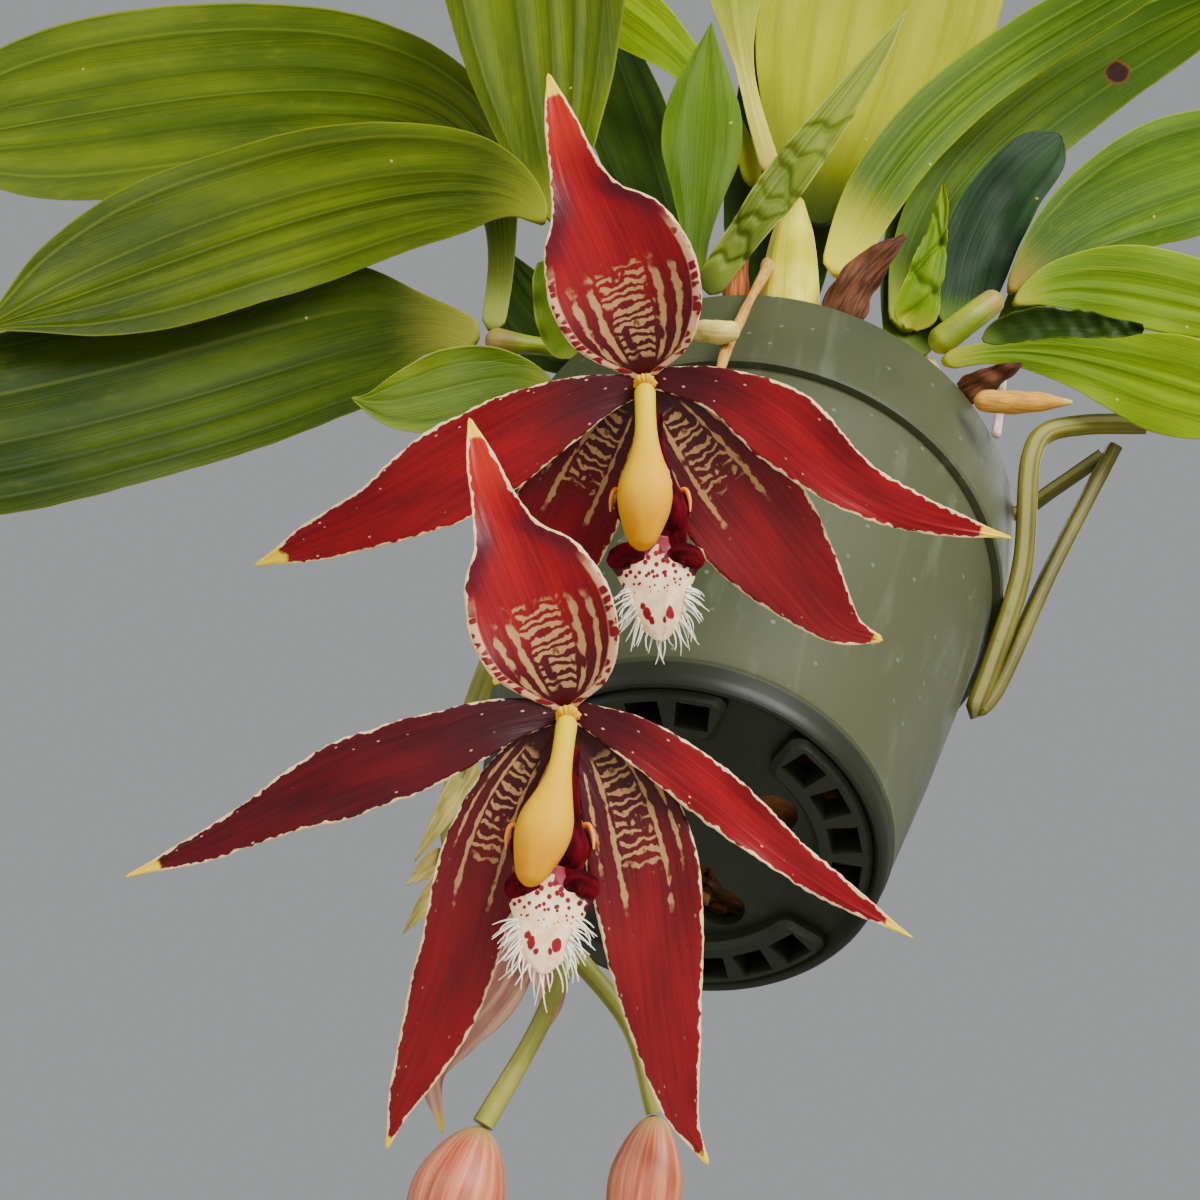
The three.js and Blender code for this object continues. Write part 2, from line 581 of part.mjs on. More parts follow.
function makeFlower(name, flower) {
  const frame = bloomFrame(flower);
  const front = frame.out.toArray();
  const curve = (line) => new THREE.CatmullRomCurve3(line.map((p) => vec(frame.world(p))));
  const columnLine = flower.column.line.map(frame.world);
  const columnRadii = [0.42, 0.4, 0.42, 0.6, 0.96, 0.92, 0.36].map((share) => share * flower.column.half);
  const columnCut = rod(columnLine, columnRadii, { sides: 8, steps: 8, grow: GAP });
  const hub = ball(frame.world([0, 0, -1]), 2.4);
  const tepals = join([hub, ...flower.tepals.map((spec) => tepal(frame, spec))]);
  place(`${name}_tepals`, "tepal_red", cut(tepals, [columnCut]));
  place(`${name}_column`, "column_yellow", rod(columnLine, columnRadii, { sides: 8, steps: 8 }));
  const sheet = { front, steps: 5, across: 4, thick: 1.2 };
  const base = { ...sheet, half: flower.lipBase.half, outline: [0.3, 0.28, 0.4, 1, 0.95], cup: 0.15 };
  place(`${name}_lip_base`, "lip_red", cut(blade(curve(flower.lipBase.line), base), [columnCut]));
  const tongue = { ...sheet, half: flower.lip.half, outline: [1, 0.95, 0.85, 0.7, 0.35], cup: -0.12 };
  place(`${name}_lip`, "lip_cream", cut(blade(curve(flower.lip.line), tongue), [columnCut]));
}

// The part-opened flower behind flower 2: one long hooked sepal shows, the others are still half closed.
const OPENING = { seat: [-21, -13, -40], facing: [-0.1, -0.64, -0.76], crown: [-0.33, -0.72, 0.6] };
const OPENING_TEPALS = [
  { half: 4.2, line: [[0, 0, 0], [-4, -9, 1], [-9.5, -16, 1], [-13.6, -22, 0], [-12.4, -31, -2]] },
  { half: 3.2, line: [[0, 0, 0], [3, -5, 2], [4, -11, 2], [2, -17, 0]] },
  { half: 3.2, line: [[0, 0, 0], [-6, -3, 1], [-12, -8, 1], [-17, -11, 0]] },
];

const BUD = [0.35, 0.75, 1, 1, 0.8, 0.45, 0.12];
const BUDS = {
  bud_left: { points: [[-18, -9, -74], [-18, -3, -84], [-18, 2, -95]], fat: 6.2 },
  bud_right: { points: [[4, -12, -65], [6, -5, -74], [8, 1, -84]], fat: 5 },
};

function makeInflorescence() {
  const rachis = rod(RACHIS, RACHIS_RADII, { steps: 33 });
  const toFlower = (name, from) => {
    const { seat, facing } = FLOWERS[name];
    const back = vec(seat).addScaledVector(vec(facing).normalize(), -3.9);
    const middle = back.clone().lerp(vec(from), 0.4);
    return rod([from, middle.toArray(), back.toArray()], [1.5, 1.3, 1.4], { steps: 6 });
  };
  const pedicels = [
    toFlower("flower_1", [-33, -62, 25]),
    toFlower("flower_2", [-38.3, -29, -23]),
    rod([[-24, -20, -47], [-22, -15.5, -42.6]], [1.4, 1.4], { steps: 2 }),
    rod([[-14, -21, -50], [-15, -16, -61], [-18, -10, -72.6]], [1.4, 1.3, 1.4], { steps: 6 }),
    rod([[-14, -21, -50], [-3, -18, -57], [3.4, -13, -63.6]], [1.4, 1.3, 1.3], { steps: 6 }),
  ];
  const bracts = BRACTS.map((line) => blade(new THREE.CubicBezierCurve3(...line.map(vec)), BRACT));
  place("flower_stem", "stalk_green", join([rachis, ...pedicels, ...bracts]));
  const frame = bloomFrame(OPENING);
  const half = { outline: SCALE_LEAF, cup: 0.35, wave: 0, steps: 7, across: 2 };
  const parts = OPENING_TEPALS.map((spec) => tepal(frame, { ...half, ...spec }));
  place("opening_flower", "bud_pink", join([ball(OPENING.seat, 2.2), ...parts]));
  for (const [name, { points, fat }] of Object.entries(BUDS)) {
    const radii = BUD.map((share) => share * fat);
    place(name, "bud_pink", rod(points, radii, { sides: 10, steps: 8, ribs: 0.03 }));
  }
}

// Hanger: a bent strap of coated wire. It grips the rim, runs down beside the wall and folds back up in a V.
const HANGER = [
  [66, -50, 111], [54, -46, 109], [47.5, -43, 106], [46, -40, 101], [50.8, -24, 84],
  [50.6, -9, 68], [50.5, -3, 62.5], [52.5, -5, 65], [57, -24, 88], [62.5, -43, 110.5],
];
const HANGER_STRUT = [[61, -41, 109.5], [55, -31, 108], [50, -23, 107], [46, -21.5, 106.8], [44.6, -21, 99]];

function makeHanger() {
  const wire = { sides: 6, steps: 26 };
  const strap = rod(HANGER, [1.5, 1.5], wire);
  const strut = rod(HANGER_STRUT, [1.3, 1.3], { sides: 6, steps: 14 });
  place("hanger", "hanger_green", join([strap, strut]));
}

// Potting mix: fills the pot, with bark standing out of its top. Bulbs and stems stand in holes in it.
function makeMix() {
  const inside = (z) => FOOT_RADIUS - WALL + ((WALL_TOP_RADIUS - FOOT_RADIUS) * (z - FLOOR_TOP)) / 75 - GAP;
  const fill = lathe([
    [0, FLOOR_TOP + GAP],
    [inside(FLOOR_TOP + GAP) - 0.2, FLOOR_TOP + GAP],
    [inside(70), 72],
    [inside(78) + 0.3, 90],
    [inside(78), MIX_TOP],
    [0, MIX_TOP + 2],
  ], 24);
  const chunks = [];
  const golden = 137.5;
  for (let k = 0; k < 11; k += 1) {
    const radius = 13 * Math.sqrt(k + 0.6);
    const angle = rad(golden * k);
    const chunk = new THREE.BoxGeometry(9 + (k % 3) * 2, 6 + (k % 2) * 2, 5);
    chunk.rotateX(rad((k * 31) % 40)).rotateY(rad((k * 17) % 30)).rotateZ(rad(k * 77));
    chunks.push(solidOf(chunk.translate(radius * Math.cos(angle), radius * Math.sin(angle), MIX_TOP + 1)));
  }
  const rachisCut = rod(RACHIS.slice(0, 3), [2.2, 2.2], { grow: GAP });
  const stubCut = rod(TRIMMINGS.stem_stub.points, TRIMMINGS.stem_stub.radii, { grow: GAP });
  place("potting_mix", "bark", cut(join([fill, ...chunks]), [...cutters, rachisCut, stubCut]));
}

makePot();
makeStems();
makeMix();
makeLeaves();
for (const [name, { slot: colour, points, radii }] of Object.entries(TRIMMINGS)) {
  place(name, colour, cut(rod(points, radii), cutters));
}
for (const [name, spec] of Object.entries(SHEATHS)) {
  makeLeaf(name, { slot: "sheath_brown", ...SHEATH, ...spec });
}
makeInflorescence();
for (const [name, flower] of Object.entries(FLOWERS)) {
  makeFlower(name, flower);
}
makeHanger();

export default plant;
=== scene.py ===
# %% [markdown]
# A potted orchid in bloom, seen from below.
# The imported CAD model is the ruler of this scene: it says where every leaf, flower and wall is. This script
# dresses it. Each CAD node is replaced by a finer piece built on the same centre line, so nothing moves.
# We load the frame first, and keep its box so that the dressed model can be measured against it at the end.

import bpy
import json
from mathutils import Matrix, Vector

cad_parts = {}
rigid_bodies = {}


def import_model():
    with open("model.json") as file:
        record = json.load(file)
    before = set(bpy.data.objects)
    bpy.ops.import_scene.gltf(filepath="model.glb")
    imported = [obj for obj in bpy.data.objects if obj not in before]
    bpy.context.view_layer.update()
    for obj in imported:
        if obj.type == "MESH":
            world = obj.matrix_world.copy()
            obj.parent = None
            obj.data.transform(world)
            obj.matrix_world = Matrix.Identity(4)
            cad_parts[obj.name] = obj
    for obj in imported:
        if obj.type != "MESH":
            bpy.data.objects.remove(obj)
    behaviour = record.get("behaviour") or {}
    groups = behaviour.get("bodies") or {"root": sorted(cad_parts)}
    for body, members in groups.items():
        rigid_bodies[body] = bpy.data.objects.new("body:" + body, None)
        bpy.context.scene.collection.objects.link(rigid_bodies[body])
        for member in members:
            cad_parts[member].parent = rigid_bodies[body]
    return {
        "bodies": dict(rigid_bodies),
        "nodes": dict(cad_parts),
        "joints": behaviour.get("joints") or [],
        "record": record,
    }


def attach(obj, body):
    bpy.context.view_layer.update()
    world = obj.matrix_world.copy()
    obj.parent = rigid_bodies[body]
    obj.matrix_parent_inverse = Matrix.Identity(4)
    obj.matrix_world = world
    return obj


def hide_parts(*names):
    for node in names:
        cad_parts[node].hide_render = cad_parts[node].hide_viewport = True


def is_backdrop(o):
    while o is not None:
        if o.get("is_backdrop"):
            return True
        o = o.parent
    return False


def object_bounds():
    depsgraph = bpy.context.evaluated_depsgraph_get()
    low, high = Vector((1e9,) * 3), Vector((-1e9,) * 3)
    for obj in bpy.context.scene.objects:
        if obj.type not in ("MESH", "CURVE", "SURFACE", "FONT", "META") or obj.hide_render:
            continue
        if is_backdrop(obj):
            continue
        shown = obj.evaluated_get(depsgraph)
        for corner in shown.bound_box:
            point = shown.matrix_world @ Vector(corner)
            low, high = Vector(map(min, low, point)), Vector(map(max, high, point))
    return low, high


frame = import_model()
cad_box = [list(corner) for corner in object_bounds()]

import json
import math

import bpy
import numpy as np
from mathutils import Matrix, Vector, noise

print("CAD nodes:", len(frame["nodes"]))

# %% [markdown]
# The grower's numbers are easiest to read from the pot: millimetres, from the centre of its underside.
# Blender wants metres from the point that the pot hangs by. One function turns the first into the second, and
# every piece goes through it. All random draws come from one seeded source, in the order of this script.

# %% One ruler for every piece
HANG_POINT = np.array([66.0, -50.0, 111.0])
draw = np.random.default_rng(11)


def to_row(spots):
    return (np.asarray(spots, float) - HANG_POINT) / 1000


# %% [markdown]
# The camera stands below and in front of the pot, looks up, and is rolled to the left, so we see the pot's
# base and the undersides of the leaves. Its three directions are written out, because a rolled camera is hard
# to aim with angles.

# %% Camera
EYE = (-26.4936, -207.5877, -226.1266)
VIEW_RIGHT = (0.94318618, -0.26890902, 0.19516088)
VIEW_UP = (-0.33226469, -0.76334102, 0.55399519)
VIEW_BACK = (0.0, -0.58736567, -0.80932167)


def link(name, data):
    made = bpy.data.objects.new(name, data)
    bpy.context.scene.collection.objects.link(made)
    return made


lens = bpy.data.cameras.new("camera")
lens.sensor_width = 36
lens.lens = 54
lens.clip_start = 0.01
camera = link("camera", lens)
directions = Matrix((VIEW_RIGHT, VIEW_UP, VIEW_BACK)).transposed().to_4x4()
camera.matrix_world = Matrix.Translation(to_row(EYE)) @ directions
bpy.context.scene.camera = camera

# %% [markdown]
# Studio light is broad and soft, so that the satin of petals and leaves shows without hard shadows. The main
# light comes from the upper right of the picture. A weaker one stands level with the plant on the left, so
# the pot's base stays in shade, and one from above serves the other views. The floor is pale and far below,
# as the plant hangs.

# %% Light and floor
AIM = Vector(to_row((-10, -40, 40)))
SKY_COLOUR, SKY_STRENGTH = (0.86, 0.88, 0.9, 1), 0.4
FLOOR_HALF, FLOOR_LEVEL = 3.0, -0.6


def softbox(name, toward, distance, size, watts):
    data = bpy.data.lights.new(name, "AREA")
    data.energy = watts
    data.size = size
    lamp = link(name, data)
    direction = Vector(toward).normalized()
    lamp.location = AIM + direction * distance
    lamp.rotation_mode = "QUATERNION"
    lamp.rotation_quaternion = direction.to_track_quat("Z", "Y")


def aside(right, up, back):
    return Vector(VIEW_RIGHT) * right + Vector(VIEW_UP) * up + Vector(VIEW_BACK) * back


softbox("key_light", aside(0.75, 0.9, 0.75), distance=0.9, size=0.5, watts=17)
softbox("fill_light", (-1, -0.5, -0.15), distance=1.0, size=0.8, watts=4)
softbox("top_light", (0.3, 0.3, 1), distance=1.1, size=0.8, watts=6)

world = bpy.data.worlds.new("studio")
world.use_nodes = True
sky = world.node_tree.nodes["Background"]
sky.inputs["Color"].default_value = SKY_COLOUR
sky.inputs["Strength"].default_value = SKY_STRENGTH
bpy.context.scene.world = world

floor_mesh = bpy.data.meshes.new("floor")
corners = [(x * FLOOR_HALF, y * FLOOR_HALF, FLOOR_LEVEL) for x, y in ((-1, -1), (1, -1), (1, 1), (-1, 1))]
floor_mesh.from_pydata(corners, [], [(0, 1, 2, 3)])
link("floor", floor_mesh)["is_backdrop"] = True

# %% [markdown]
# A leaf or a stem starts as a line. Leaves bend like a cubic Bezier curve: root, rise, bend and tip. Stems
# and petals run through all their points, which a Catmull-Rom curve does. Either is walked in equal steps, so
# that a width at halfway is really halfway along.

# %% Lines
def unit(vector):
    vector = np.asarray(vector, float)
    return vector / np.linalg.norm(vector, axis=-1, keepdims=True)


def bezier(points, count=300):
    root, rise, bend, tip = np.array(points, float)
    t = np.linspace(0, 1, count)[:, None]
    return (1 - t) ** 3 * root + 3 * (1 - t) ** 2 * t * rise + 3 * (1 - t) * t**2 * bend + t**3 * tip


def through(points, count=60):
    p = [np.array(q, float) for q in points]
    p = [2 * p[0] - p[1], *p, 2 * p[-1] - p[-2]]
    t = np.linspace(0, 1, count, endpoint=False)[:, None]
    runs = []
    for before, start, end, after in zip(p, p[1:], p[2:], p[3:]):
        a, b, c = (math.sqrt(np.linalg.norm(v)) for v in (start - before, end - start, after - end))
        leave = b * ((start - before) / a - (end - before) / (a + b) + (end - start) / b)
        reach = b * ((end - start) / b - (after - start) / (b + c) + (after - end) / c)
        run = 2 * t**3 - 3 * t**2
        runs.append((run + 1) * start - run * end + (t**3 - 2 * t**2 + t) * leave + (t**3 - t**2) * reach)
    return np.concatenate([*runs, [p[-2]]])


def walk(line, steps, ends_close=False):
    """Equal steps along a line: the share walked, the spots, the direction at each, and the whole length."""
    travelled = np.concatenate([[0], np.cumsum(np.linalg.norm(np.diff(line, axis=0), axis=1))])
    share = np.linspace(0, 1, steps + 1)
    if ends_close:
        share = (1 - np.cos(math.pi * share)) / 2
    spots = np.stack([np.interp(share * travelled[-1], travelled, line[:, k]) for k in range(3)], 1)
    return share, spots, unit(np.gradient(spots, axis=0)), travelled[-1]


def between(stations, t):
    """A smooth value at t between evenly spaced stations, and never quite nothing."""
    stations = np.array(stations, float)
    last = len(stations) - 1
    i = np.floor(np.minimum(t, 0.9999) * last).astype(int)
    ease = t * last - i
    p, a, b, q = (stations[np.clip(i + step, 0, last)] for step in (-1, 0, 1, 2))
    smooth = a + 0.5 * ease * (b - p + ease * (2 * p - 5 * a + 4 * b - q + ease * (3 * (a - b) + q - p)))
    return np.maximum(smooth, 0.02)


def ripple(values, seed):
    """Soft random waves, one for each value, between about -1 and 1."""
    waves = [noise.noise(Vector((float(v), seed * 3.7, seed * 1.3))) for v in np.ravel(values)]
    return np.array(waves).reshape(np.shape(values))


def rounded(distance, least):
    """The share of its width that a round end has at a distance from the end, given in end radii."""
    return np.sqrt(np.clip(1 - (1 - np.minimum(distance, 1)) ** 2, least, 1))


# %% [markdown]
# A shell is a closed skin made of rings of points, like the hoops of a barrel, with both ends filled. With it
# we store what the paint will ask for later: how far along the point lies, how far across, how near the
# margin, and a flat map in millimetres. A piece is one or more shells with a finish, a place on the CAD body,
# and the CAD node that it stands for.

# %% Shells and pieces
FIELDS = ("along", "across", "edge", "keel", "flat_x", "flat_y", "front", "dent")


def shell(rings, **fields):
    rings = np.asarray(rings)
    count, around = rings.shape[:2]
    grid = np.arange(count * around).reshape(count, around)
    right = np.roll(grid, -1, axis=1)
    faces = [np.stack([grid[:-1], right[:-1], right[1:], grid[1:]], -1).reshape(-1, 4)]
    j = np.arange(around // 2 - 1)
    cap = np.stack([j, around - 1 - j, around - 2 - j, j + 1], 1)
    faces += [cap, cap[:, ::-1] + (count - 1) * around]
    faces = np.concatenate(faces)
    spots = rings.reshape(-1, 3)
    a, b, c, d = (spots[faces[:, k]] for k in range(4))
    volume = np.einsum("ij,ij->", a, np.cross(b, c) + np.cross(c, d))
    return {
        "spots": spots,
        "faces": faces if volume > 0 else faces[:, ::-1],
        "fields": {name: np.broadcast_to(v, (count, around)).ravel() for name, v in fields.items()},
    }


def settle(made, node):
    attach(made, "root")
    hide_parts(node)


def piece(name, shells, node, finish):
    mesh = bpy.data.meshes.new(name)
    starts = np.cumsum([0] + [len(s["spots"]) for s in shells])
    spots = to_row(np.concatenate([s["spots"] for s in shells]))
    faces = np.concatenate([s["faces"] + start for s, start in zip(shells, starts)])
    mesh.from_pydata(spots.tolist(), [], faces.tolist())
    for field in FIELDS:
        values = np.concatenate([s["fields"].get(field, np.zeros(len(s["spots"]))) for s in shells])
        mesh.attributes.new(field, "FLOAT", "POINT").data.foreach_set("value", values.astype(np.float32))
    mesh.polygons.foreach_set("use_smooth", [True] * len(faces))
    mesh.materials.append(finish)
    settle(link(name, mesh), node)


# %% [markdown]
# Two kinds of shell make nearly the whole plant. A blade is a leaf, a petal or a sheath: thin, thickest in
# the middle, with a front that faces a chosen way. It can be cupped, folded between raised keels, waved and
# given an uneven margin. A rod is a bulb, a stem or a root: round, with a radius that changes along it.

# %% Blades
PLAIN_BLADE = {
    "steps": 60, "keels": 1, "fine": 5, "blunt": 0.01, "round_tip": 0.01, "ragged": 0.0, "tooth": 1.6,
    "ridge": 0.0, "pleat": 0.0, "wave": 0.0, "waves": 3, "cup": 0.08, "thick": 0.5, "butt": None,
    "relief": None, "seed": 1,
}
LONG_TOOTH = 7
RIDGE_WIDTH = 0.45


def blade(line, spec):
    """A thin closed sheet along a line, in millimetres. Its outline is given in shares of the half width."""
    spec = {**PLAIN_BLADE, **spec}
    half, keels, seed, thick = (spec[key] for key in ("half", "keels", "seed", "thick"))
    share, spots, along, length = walk(line, spec["steps"])
    front = np.array(spec["front"], float)
    up = unit(front - along * (along @ front)[:, None])
    side = np.cross(along, up)
    t, s = np.meshgrid(share, np.linspace(-1, 1, 2 * keels * spec["fine"] + 1), indexing="ij")
    rounding = rounded(share * length / spec["blunt"], 0.15)
    rounding *= rounded((1 - share) * length / spec["round_tip"], 0.04)
    width = (half * rounding * between(spec["outline"], share))[:, None] * np.ones_like(s)

    def uneven(tooth, right, left):
        waves = [ripple(share * length / tooth, seed + more)[:, None] for more in (right, left)]
        return np.where(s > 0, *waves)

    rag = uneven(spec["tooth"], 0, 5) + 1.4 * uneven(LONG_TOOTH, 9, 13)
    reach = s * (width + spec["ragged"] * rag * np.sin(math.pi * np.clip(t, 0.02, 0.98)) * s * s)
    place = ((s + 1) / 2 + (1 - s * s) * 0.5 / keels * np.sin(2.3 * s + seed)) * keels
    cell = place % 1 - 0.5
    keel = np.abs(cell) * 2 * width / keels
    strength = (0.45 + 0.55 * np.abs(np.sin(1.9 * np.floor(place) + seed))) * np.clip((t - 0.04) / 0.2, 0, 1)
    ridge = spec["ridge"] * strength * np.exp(-((keel / RIDGE_WIDTH) ** 2))
    fold = spec["pleat"] * strength * np.sin(math.pi * cell) ** 2 * np.minimum(1, width / half)
    wave = spec["wave"] * s * s * np.sin(math.pi * t)
    wave *= np.sin(2 * math.pi * spec["waves"] * t + 2 * (s <= 0) + seed)
    relief = spec["relief"](t, s, width) if spec["relief"] else np.zeros_like(s)
    lift = spec["cup"] * width * s * s + ridge - fold + wave + relief
    butt = spec["butt"] or thick
    body = (thick + (butt - thick) * np.exp(-t * 9)) * (0.2 + 0.8 * np.sqrt(np.clip(1 - s * s, 0, 1)))
    sheet = spots[:, None] + side[:, None] * reach[..., None] + up[:, None] * lift[..., None]
    rise = up[:, None] * body[..., None] / 2

    def both(field):
        return np.concatenate([field, field[:, ::-1]], axis=1)

    return shell(
        np.concatenate([sheet + rise, (sheet - rise)[:, ::-1]], axis=1),
        along=both(t), across=both(s), edge=both(width * (1 - np.abs(s))), keel=both(keel),
        flat_x=both(s * width), flat_y=both(t * length), dent=both(np.maximum(-relief, 0)),
        front=np.concatenate([np.ones_like(s), np.zeros_like(s)], axis=1),
    )


# %% Rods
def rod(points, radii, sides=20, steps=60, dome=(True, True), bulge=None):
    share, spots, along, length = walk(through(points), steps, ends_close=True)
    radius = between(radii, share)
    if dome[0]:
        radius = radius * rounded(share * length / radius[0], 0.0004)
    if dome[1]:
        radius = radius * rounded((1 - share) * length / radius[-1], 0.0004)
    normal = np.cross(along[0], (0.3, 0.9, 0.31))
    normals = []
    for tangent in along:
        normal = unit(normal - tangent * (normal @ tangent))
        normals.append(normal)
    others = np.cross(along, normals)
    t, angle = np.meshgrid(share, np.linspace(0, 2 * math.pi, sides, endpoint=False), indexing="ij")
    r = radius[:, None] * (bulge(t, angle) if bulge else 1)
    c, s = np.cos(angle)[..., None], np.sin(angle)[..., None]
    outward = np.array(normals)[:, None] * c + others[:, None] * s
    return shell(
        spots[:, None] + r[..., None] * outward, along=t, across=angle / math.pi - 1, edge=9, keel=9, front=1,
        flat_x=(angle - math.pi) * np.max(radius), flat_y=t * length,
    )


# %% [markdown]
# Every finish is painted with nodes, so it stays sharp close up. A finish starts as one colour, and others
# are laid over it where a value says so. Values are read from the fields that the shells carry, in
# millimetres, so a vein is as wide as a real vein whatever the leaf's size. Plain sums work on them.

# %% Paint box
def paint(code):
    """A colour from its hex code, as Blender's linear light."""
    parts = [int(code[i : i + 2], 16) / 255 for i in (1, 3, 5)]
    return (*[c / 12.92 if c <= 0.04045 else ((c + 0.055) / 1.055) ** 2.4 for c in parts], 1)


class Value:
    def __init__(self, finish, socket):
        self.finish = finish
        self.socket = socket

    def calc(self, operation, *others):
        return self.finish.add("Math", dict(enumerate((self, *others))), operation=operation)

    def __add__(self, other):
        return self.calc("ADD", other)

    def __sub__(self, other):
        return self.calc("SUBTRACT", other)

    def __mul__(self, other):
        return self.calc("MULTIPLY", other)

    def __abs__(self):
        return self.calc("ABSOLUTE")

    def fade(self, start, end):
        """0 before start and 1 after end, or the other way round when end is smaller."""
        low, high = sorted((start, end))
        first = float(start > end)
        limits = {1: low, 2: high, 3: first, 4: 1 - first}
        return self.finish.add("MapRange", {0: self, **limits}, interpolation_type="SMOOTHSTEP")


def distance(x, y):
    return (x * x + y * y).calc("SQRT")


def highest(values):
    top = values[0]
    for value in values[1:]:
        top = top.calc("MAXIMUM", value)
    return top


class Finish:
    def __init__(self, name, base, roughness, shine=0.3):
        self.material = bpy.data.materials.new(name)
        self.material.use_nodes = True
        self.tree = self.material.node_tree
        self.shader = self.tree.nodes["Principled BSDF"]
        self.shader.inputs["Roughness"].default_value = roughness
        self.shader.inputs["Specular IOR Level"].default_value = shine
        self.colour = paint(base)

    def feed(self, node, key, value):
        if isinstance(value, Value):
            self.tree.links.new(value.socket, node.inputs[key])
        else:
            node.inputs[key].default_value = value

    def add(self, kind, inputs, output=0, **settings):
        node = self.tree.nodes.new("ShaderNode" + kind)
        for key, value in settings.items():
            setattr(node, key, value)
        for key, value in inputs.items():
            self.feed(node, key, value)
        return Value(self, node.outputs[output])

    def fields(self, *names):
        return [self.add("Attribute", {}, output=2, attribute_name=name) for name in names]

    def flat(self, x_scale, y_scale, shift=0.0):
        """The flat map of the piece, stretched. Front and back lie apart on it."""
        x, y, front = self.fields("flat_x", "flat_y", "front")
        return self.add("CombineXYZ", {0: x * x_scale, 1: y * y_scale + shift, 2: front * 5.0})

    def noise(self, where, scale, detail):
        return self.add("TexNoise", {"Vector": where, "Scale": scale, "Detail": detail})

    def cloud(self, x_scale, y_scale, shift=0.0, detail=3.0):
        """Soft patches on the flat map."""
        return self.noise(self.flat(x_scale, y_scale, shift), 1.0, detail)

    def space(self, stretch=None):
        """The piece's own space in metres, stretched if need be."""
        here = self.add("TexCoord", {}, output=3)
        return self.add("Mapping", {"Vector": here, "Scale": stretch}) if stretch else here

    def haze(self, scale, detail=3.0, stretch=None):
        """Soft patches in the piece's own space."""
        return self.noise(self.space(stretch), scale, detail)

    def cells(self, where, scale=1.0, **settings):
        """How far each spot lies from the nearest of many scattered points."""
        return self.add("TexVoronoi", {"Vector": where, "Scale": scale}, **settings)

    def lay(self, share, code):
        """Lays a colour over the ones below, as thick as share says, from 0 to 1."""
        inputs = {0: share, 6: self.colour, 7: paint(code)}
        self.colour = self.add("Mix", inputs, output=2, data_type="RGBA")

    def done(self, height=None, strength=0.0, millimetres=0.0):
        """Joins the colours to the shader, and a height as a bump of so many millimetres."""
        self.feed(self.shader, "Base Color", self.colour)
        if height:
            bump = {"Height": height, "Strength": strength, "Distance": millimetres / 1000}
            self.feed(self.shader, "Normal", self.add("Bump", bump))
        return self.material


# %% [markdown]
# The floor gets the plainest finish, a pale paper with a faint mottle.

# %% Floor finish
paper = Finish("studio_floor", "#dcdad4", 0.8)
paper.lay(paper.haze(3.0), "#e6e4df")
floor_mesh.materials.append(paper.done())

# %% [markdown]
# We see the leaves from underneath. Their skin is satin, folded lengthwise between three or five raised
# keels, with finer veins between, and it pales towards the stalk. The keel tops are paler, partly their own
# colour and partly painted highlight, and painted shade in the deep green lies beside each keel and in dents.
# One function paints them all from four colours: the deep green of the skin and of its painted shade, the
# green of the crests, the pale green of keels, and the stalk. Some also say how far the stalk's colour
# reaches, and one has a brown spot.

# %% Leaf finish
def leaf_finish(name, deep, crest, keel_green, stalk, pale_to=0.16, spot=None):
    skin = Finish(name, deep, 0.55, 0.12)
    along, keel, edge, dent, x, y = skin.fields("along", "keel", "edge", "dent", "flat_x", "flat_y")
    patches = skin.cloud(0.07, 0.025, detail=4.0)
    veins = skin.cloud(2.6, 0.012, 4.0, 2.0)
    mottle = skin.cloud(0.5, 0.2, 9.0, 5.0)
    risen = along.fade(0.06, 0.3)
    skin.lay(patches.fade(0.26, 0.74), crest)
    skin.lay(veins.fade(0.45, 0.75) * 0.13, keel_green)
    skin.lay(mottle.fade(0.5, 0.8) * 0.15, keel_green)
    # Painted shade beside each keel, in the deep green, then a thin pale line on the keel top, partly the
    # keel's own paler colour and partly painted highlight.
    skin.lay(keel.fade(2.0, 0.5) * 0.62 * risen, deep)
    skin.lay(keel.fade(0.36, 0.1) * 0.22 * risen, keel_green)
    skin.lay(edge.fade(0.45, 0.1) * 0.6, keel_green)
    # Painted shade in the dents, where a leaf is creased.
    skin.lay(dent.fade(0.15, 0.8) * 0.6, deep)
    skin.lay((patches * 0.06 + along).fade(pale_to + 0.03, 0.02), stalk)
    skin.lay(skin.cells(skin.flat(0.11, 0.11, 2.0)).fade(0.045, 0.02) * 0.5, "#d8c070")
    if spot:
        spot_x, spot_y, radius = spot
        far = mottle * -1.2 + distance(x - spot_x, y - spot_y)
        skin.lay(far.fade(radius + 0.5, radius), "#5c4010")
        skin.lay(far.fade(radius, radius - 0.7), "#2a120c")
    return skin.done(veins * 0.6 + mottle * 0.5, 0.55, 0.35)


GREENS = {
    "olive": ("#354800", "#586802", "#7c8818", "#86903a"),
    "lit": ("#2e3e00", "#526200", "#747c16", "#767c1c"),
    "deep": ("#203200", "#3e5000", "#666e14", "#84842c", 0.14),
    "backlit": ("#7c8000", "#969800", "#a2a400", "#34420a", 0.34),
    "shade": ("#1c2e04", "#2f4508", "#485c14", "#5c7026"),
    "blue_green": ("#10240c", "#203c18", "#35522c", "#5c7a24"),
    "young": ("#4e6a00", "#789000", "#8c9c10", "#8c8c20"),
    "fresh": ("#3a5400", "#506a00", "#66781a", "#7a8820"),
    "soft": ("#3c5204", "#6c7c18", "#84902c", "#7e882c"),
    "wilting": ("#4c5c12", "#8a9628", "#9aa03c", "#66742a"),
    "spotted": ("#2c4800", "#506600", "#748414", "#85902c", 0.16, (2.2, 92.5, 2.1)),
    "vivid": ("#2c4600", "#4e6c00", "#86981c", "#7c6c1c"),
    "cream_based": ("#304a00", "#526c00", "#84941c", "#c4bc20", 0.22),
    "long_stalked": ("#4c6200", "#6c8000", "#8c9418", "#c8bc4c", 0.75),
}
LEAF_FINISHES = {green: leaf_finish("leaf_" + green, *colours) for green, colours in GREENS.items()}
print("leaf finishes:", len(LEAF_FINISHES))

